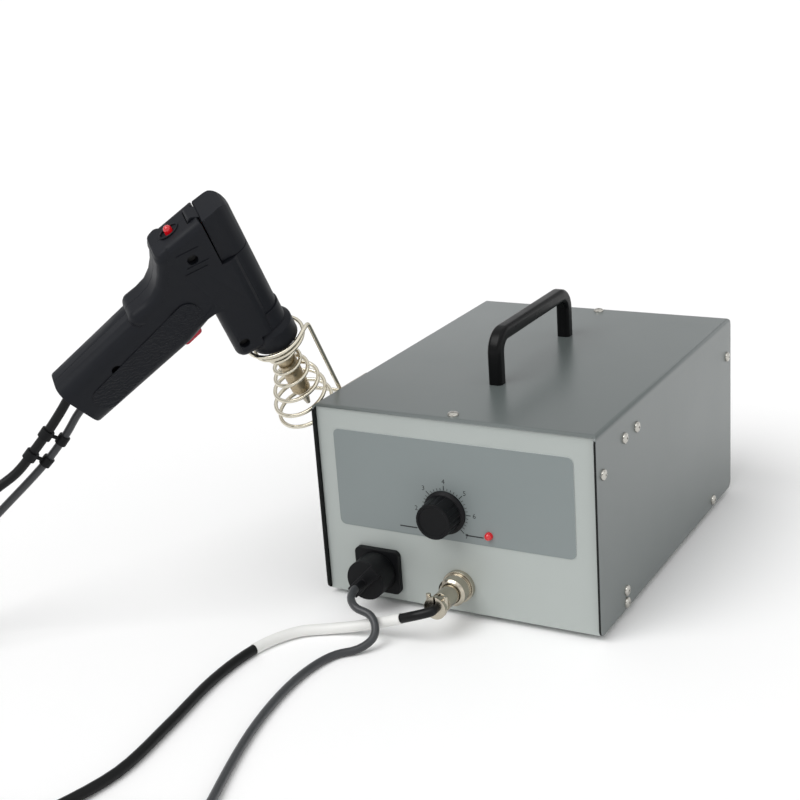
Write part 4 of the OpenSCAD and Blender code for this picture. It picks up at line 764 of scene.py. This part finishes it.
gripSet = {"halfMm": 14.5, "panelMm": 86, "panelWideMm": 17, "panelCornerMm": 7.5, "panelX": 4.5, "panelZ": -78,
           "draftDeg": 2, "proudMm": 0.35, "sunkMm": 0.05}
for name, side in (("gripPanelNear", -1), ("gripPanelFar", 1)):
    turn = Matrix.Rotation(math.radians(90), 4, "Y")
    if side > 0:
        turn = Matrix.Rotation(math.pi, 4, "Z") @ turn
    middle = Vector((gripSet["panelX"], side * (gripSet["halfMm"] - gripSet["sunkMm"]), gripSet["panelZ"])) * mm
    place = (gripFrame @ Matrix.Translation(middle)
             @ Matrix.Rotation(math.radians(gripSet["draftDeg"] * side), 4, "Y") @ turn)
    roundedBar(name, gripSet["panelMm"], gripSet["panelWideMm"], gripSet["proudMm"], gripSet["panelCornerMm"], place,
               "iron", rippledNylon, 10)

# the ribs stand in two staggered rows, and one gives way to a screw
ribSet = {"count": 5, "longMm": 14, "wideMm": 0.9, "proudMm": 0.4, "cornerMm": 0.42, "x": -22, "shiftMm": 2.2,
          "faceY": -13.97, "firstZ": 94, "stepMm": 3.6, "screwZ": 87.4, "clearMm": 3.4}
for i in range(ribSet["count"]):
    z = ribSet["firstZ"] - i * ribSet["stepMm"]
    middle = Vector((ribSet["x"] + ribSet["shiftMm"] * (i % 2), ribSet["faceY"], z)) * mm
    place = ironFrame @ Matrix.Translation(middle)
    if abs(z - ribSet["screwZ"]) > ribSet["clearMm"]:
        roundedBar("sideRib%d" % i, ribSet["longMm"], ribSet["wideMm"], ribSet["proudMm"], ribSet["cornerMm"], place,
                   "iron", shellNylon, 3)

# the iron's outlines are given as (v, z): across the barrel towards the grip, and back along it
rearSet = {"shellPlane": (0.271, 0.963, 106.0), "shellSpan": (20, 60),
           "hoodPlane": (0.218, 0.976, 105.5), "hoodSpan": (-20, 7.3)}


def flattenBehind(piece, plane, span):
    # presses what stands behind the slanted rear face flat onto it
    a, b, limit = plane
    toIron = ironFrame.inverted()
    for vertex in piece.data.vertices:
        local = toIron @ vertex.co
        v, z = -local.x / mm, local.z / mm
        over = a * v + b * z - limit
        if over > 0 and span[0] < v < span[1]:
            vertex.co = ironFrame @ (local - Vector((-a, 0, b)) * over * mm)
    piece.data.update()


for node in ("iron_shell_left", "iron_shell_right"):
    flattenBehind(forms[node], rearSet["shellPlane"], rearSet["shellSpan"])
flattenBehind(forms["iron_hood"], rearSet["hoodPlane"], rearSet["hoodSpan"])

# the moulded skin where receiver, heel and grip run into each other
skinSet = {"outerMm": 13.97, "innerMm": 12.6,
           "outline": [(34, 95), (19, 45), (24, 46), (48.4, 41.3), (59.4, 59.8), (64.7, 64.9), (56.9, 66.9),
                       (49.1, 70.3), (42.6, 76.4), (38.3, 83.2), (35.6, 89.8)]}
for name, side in (("heelSkinNear", -1), ("heelSkinFar", 1)):
    bm = bmesh.new()
    low = [bm.verts.new((-v * mm, side * skinSet["innerMm"] * mm, z * mm)) for v, z in skinSet["outline"]]
    made = bmesh.ops.extrude_face_region(bm, geom=[bm.faces.new(low)])["geom"]
    for v in made:
        if isinstance(v, bmesh.types.BMVert):
            v.co.y = side * skinSet["outerMm"] * mm
    skin = finishMesh(bm, name)
    skin.transform(ironFrame)
    addPiece(name, skin, "iron", shellNylon)

# the lamp's oval lip, in the rear face's slope
lipSet = {"longMm": 6.2, "wideMm": 3.9, "wireMm": 0.55, "at": (-26, 0, 103.2), "slope": 0.23,
          "steps": 48, "sides": 8}
along = Vector((-1, 0, -lipSet["slope"])).normalized()
across = Vector((0, 1, 0))
lipPath = []
for k in range(lipSet["steps"] + 1):
    a = 2 * math.pi * k / lipSet["steps"]
    lipPath.append(Vector(lipSet["at"]) * mm
                   + (along * math.cos(a) * lipSet["longMm"] + across * math.sin(a) * lipSet["wideMm"]) * mm)
lipMesh = sweepTube("lampLip", lipPath, lipSet["wireMm"] * mm, lipSet["sides"])
lipMesh.transform(ironFrame)
addPiece("lampLip", lipMesh, "iron", shellNylon)
print("iron detailed")


# ---- floor, light and background

floorSet = {"half": 12, "tone": "#ffffff", "roughness": 0.9, "specular": 0.1}
floorMesh = bpy.data.meshes.new("paleFloor")
corners = [(x * floorSet["half"], y * floorSet["half"], 0) for x, y in ((-1, -1), (1, -1), (1, 1), (-1, 1))]
floorMesh.from_pydata(corners, [], [(0, 1, 2, 3)])
floor = linkObject("paleFloor", floorMesh)
floorMaterial = bpy.data.materials.new("palePaper")
floorMaterial.use_nodes = True
floorShader = floorMaterial.node_tree.nodes["Principled BSDF"]
floorShader.inputs["Base Color"].default_value = linear(floorSet["tone"])
floorShader.inputs["Roughness"].default_value = floorSet["roughness"]
floorShader.inputs["Specular IOR Level"].default_value = floorSet["specular"]
floorMesh.materials.append(floorMaterial)

# bands are what shiny faces mirror, as (height in the room, brightness)
lightSet = {"keyStrength": 1.75, "keySoftDeg": 45, "keyWay": (0.35, 0.75, -1.0),
            "fillStrength": 0.55, "fillSoftDeg": 80, "fillWay": (-0.8, 0.25, -0.6),
            "worldStrength": 0.5, "roomStrength": 0.95,
            "bands": ((0.12, 0.9), (0.34, 0.8), (0.46, 0.28), (0.56, 0.32), (0.66, 0.95))}


def addSun(name, strength, softDeg, towards):
    data = bpy.data.lights.new(name, "SUN")
    data.energy = strength
    data.angle = math.radians(softDeg)
    linkObject(name, data).rotation_euler = Vector(towards).to_track_quat("-Z", "Y").to_euler()


addSun("keySun", lightSet["keyStrength"], lightSet["keySoftDeg"], lightSet["keyWay"])
addSun("fillSun", lightSet["fillStrength"], lightSet["fillSoftDeg"], lightSet["fillWay"])

world = bpy.data.worlds.new("softRoom")
bpy.context.scene.world = world
world.use_nodes = True
sky = world.node_tree
for node in list(sky.nodes):
    sky.nodes.remove(node)
skyPlace = addNode(sky, "ShaderNodeTexCoord")
skyParts = addNode(sky, "ShaderNodeSeparateXYZ", None, {0: skyPlace.outputs["Generated"]})
bands = addNode(sky, "ShaderNodeValToRGB", None, {0: skyParts.outputs["Z"]})
ramp = bands.color_ramp
ramp.elements[0].position, ramp.elements[0].color = 0.0, (0.95, 0.95, 0.95, 1)
ramp.elements[1].position, ramp.elements[1].color = 1.0, (1, 1, 1, 1)
for at, tone in lightSet["bands"]:
    stop = ramp.elements.new(at)
    stop.color = (tone, tone, tone * 1.01, 1)
room = addNode(sky, "ShaderNodeBackground", {"Strength": lightSet["roomStrength"]}, {"Color": bands.outputs[0]})
even = addNode(sky, "ShaderNodeBackground", {"Color": (1, 1, 1, 1), "Strength": lightSet["worldStrength"]})
white = addNode(sky, "ShaderNodeBackground", {"Color": (1, 1, 1, 1), "Strength": 1.0})
rays = addNode(sky, "ShaderNodeLightPath")
glossy = addNode(sky, "ShaderNodeMixShader", None,
                 {0: rays.outputs["Is Glossy Ray"], 1: even.outputs[0], 2: room.outputs[0]})
seen = addNode(sky, "ShaderNodeMixShader", None,
               {0: rays.outputs["Is Camera Ray"], 1: glossy.outputs[0], 2: white.outputs[0]})
addNode(sky, "ShaderNodeOutputWorld", None, {"Surface": seen.outputs[0]})
bpy.context.scene.view_settings.view_transform = "Standard"
print("stage lit")
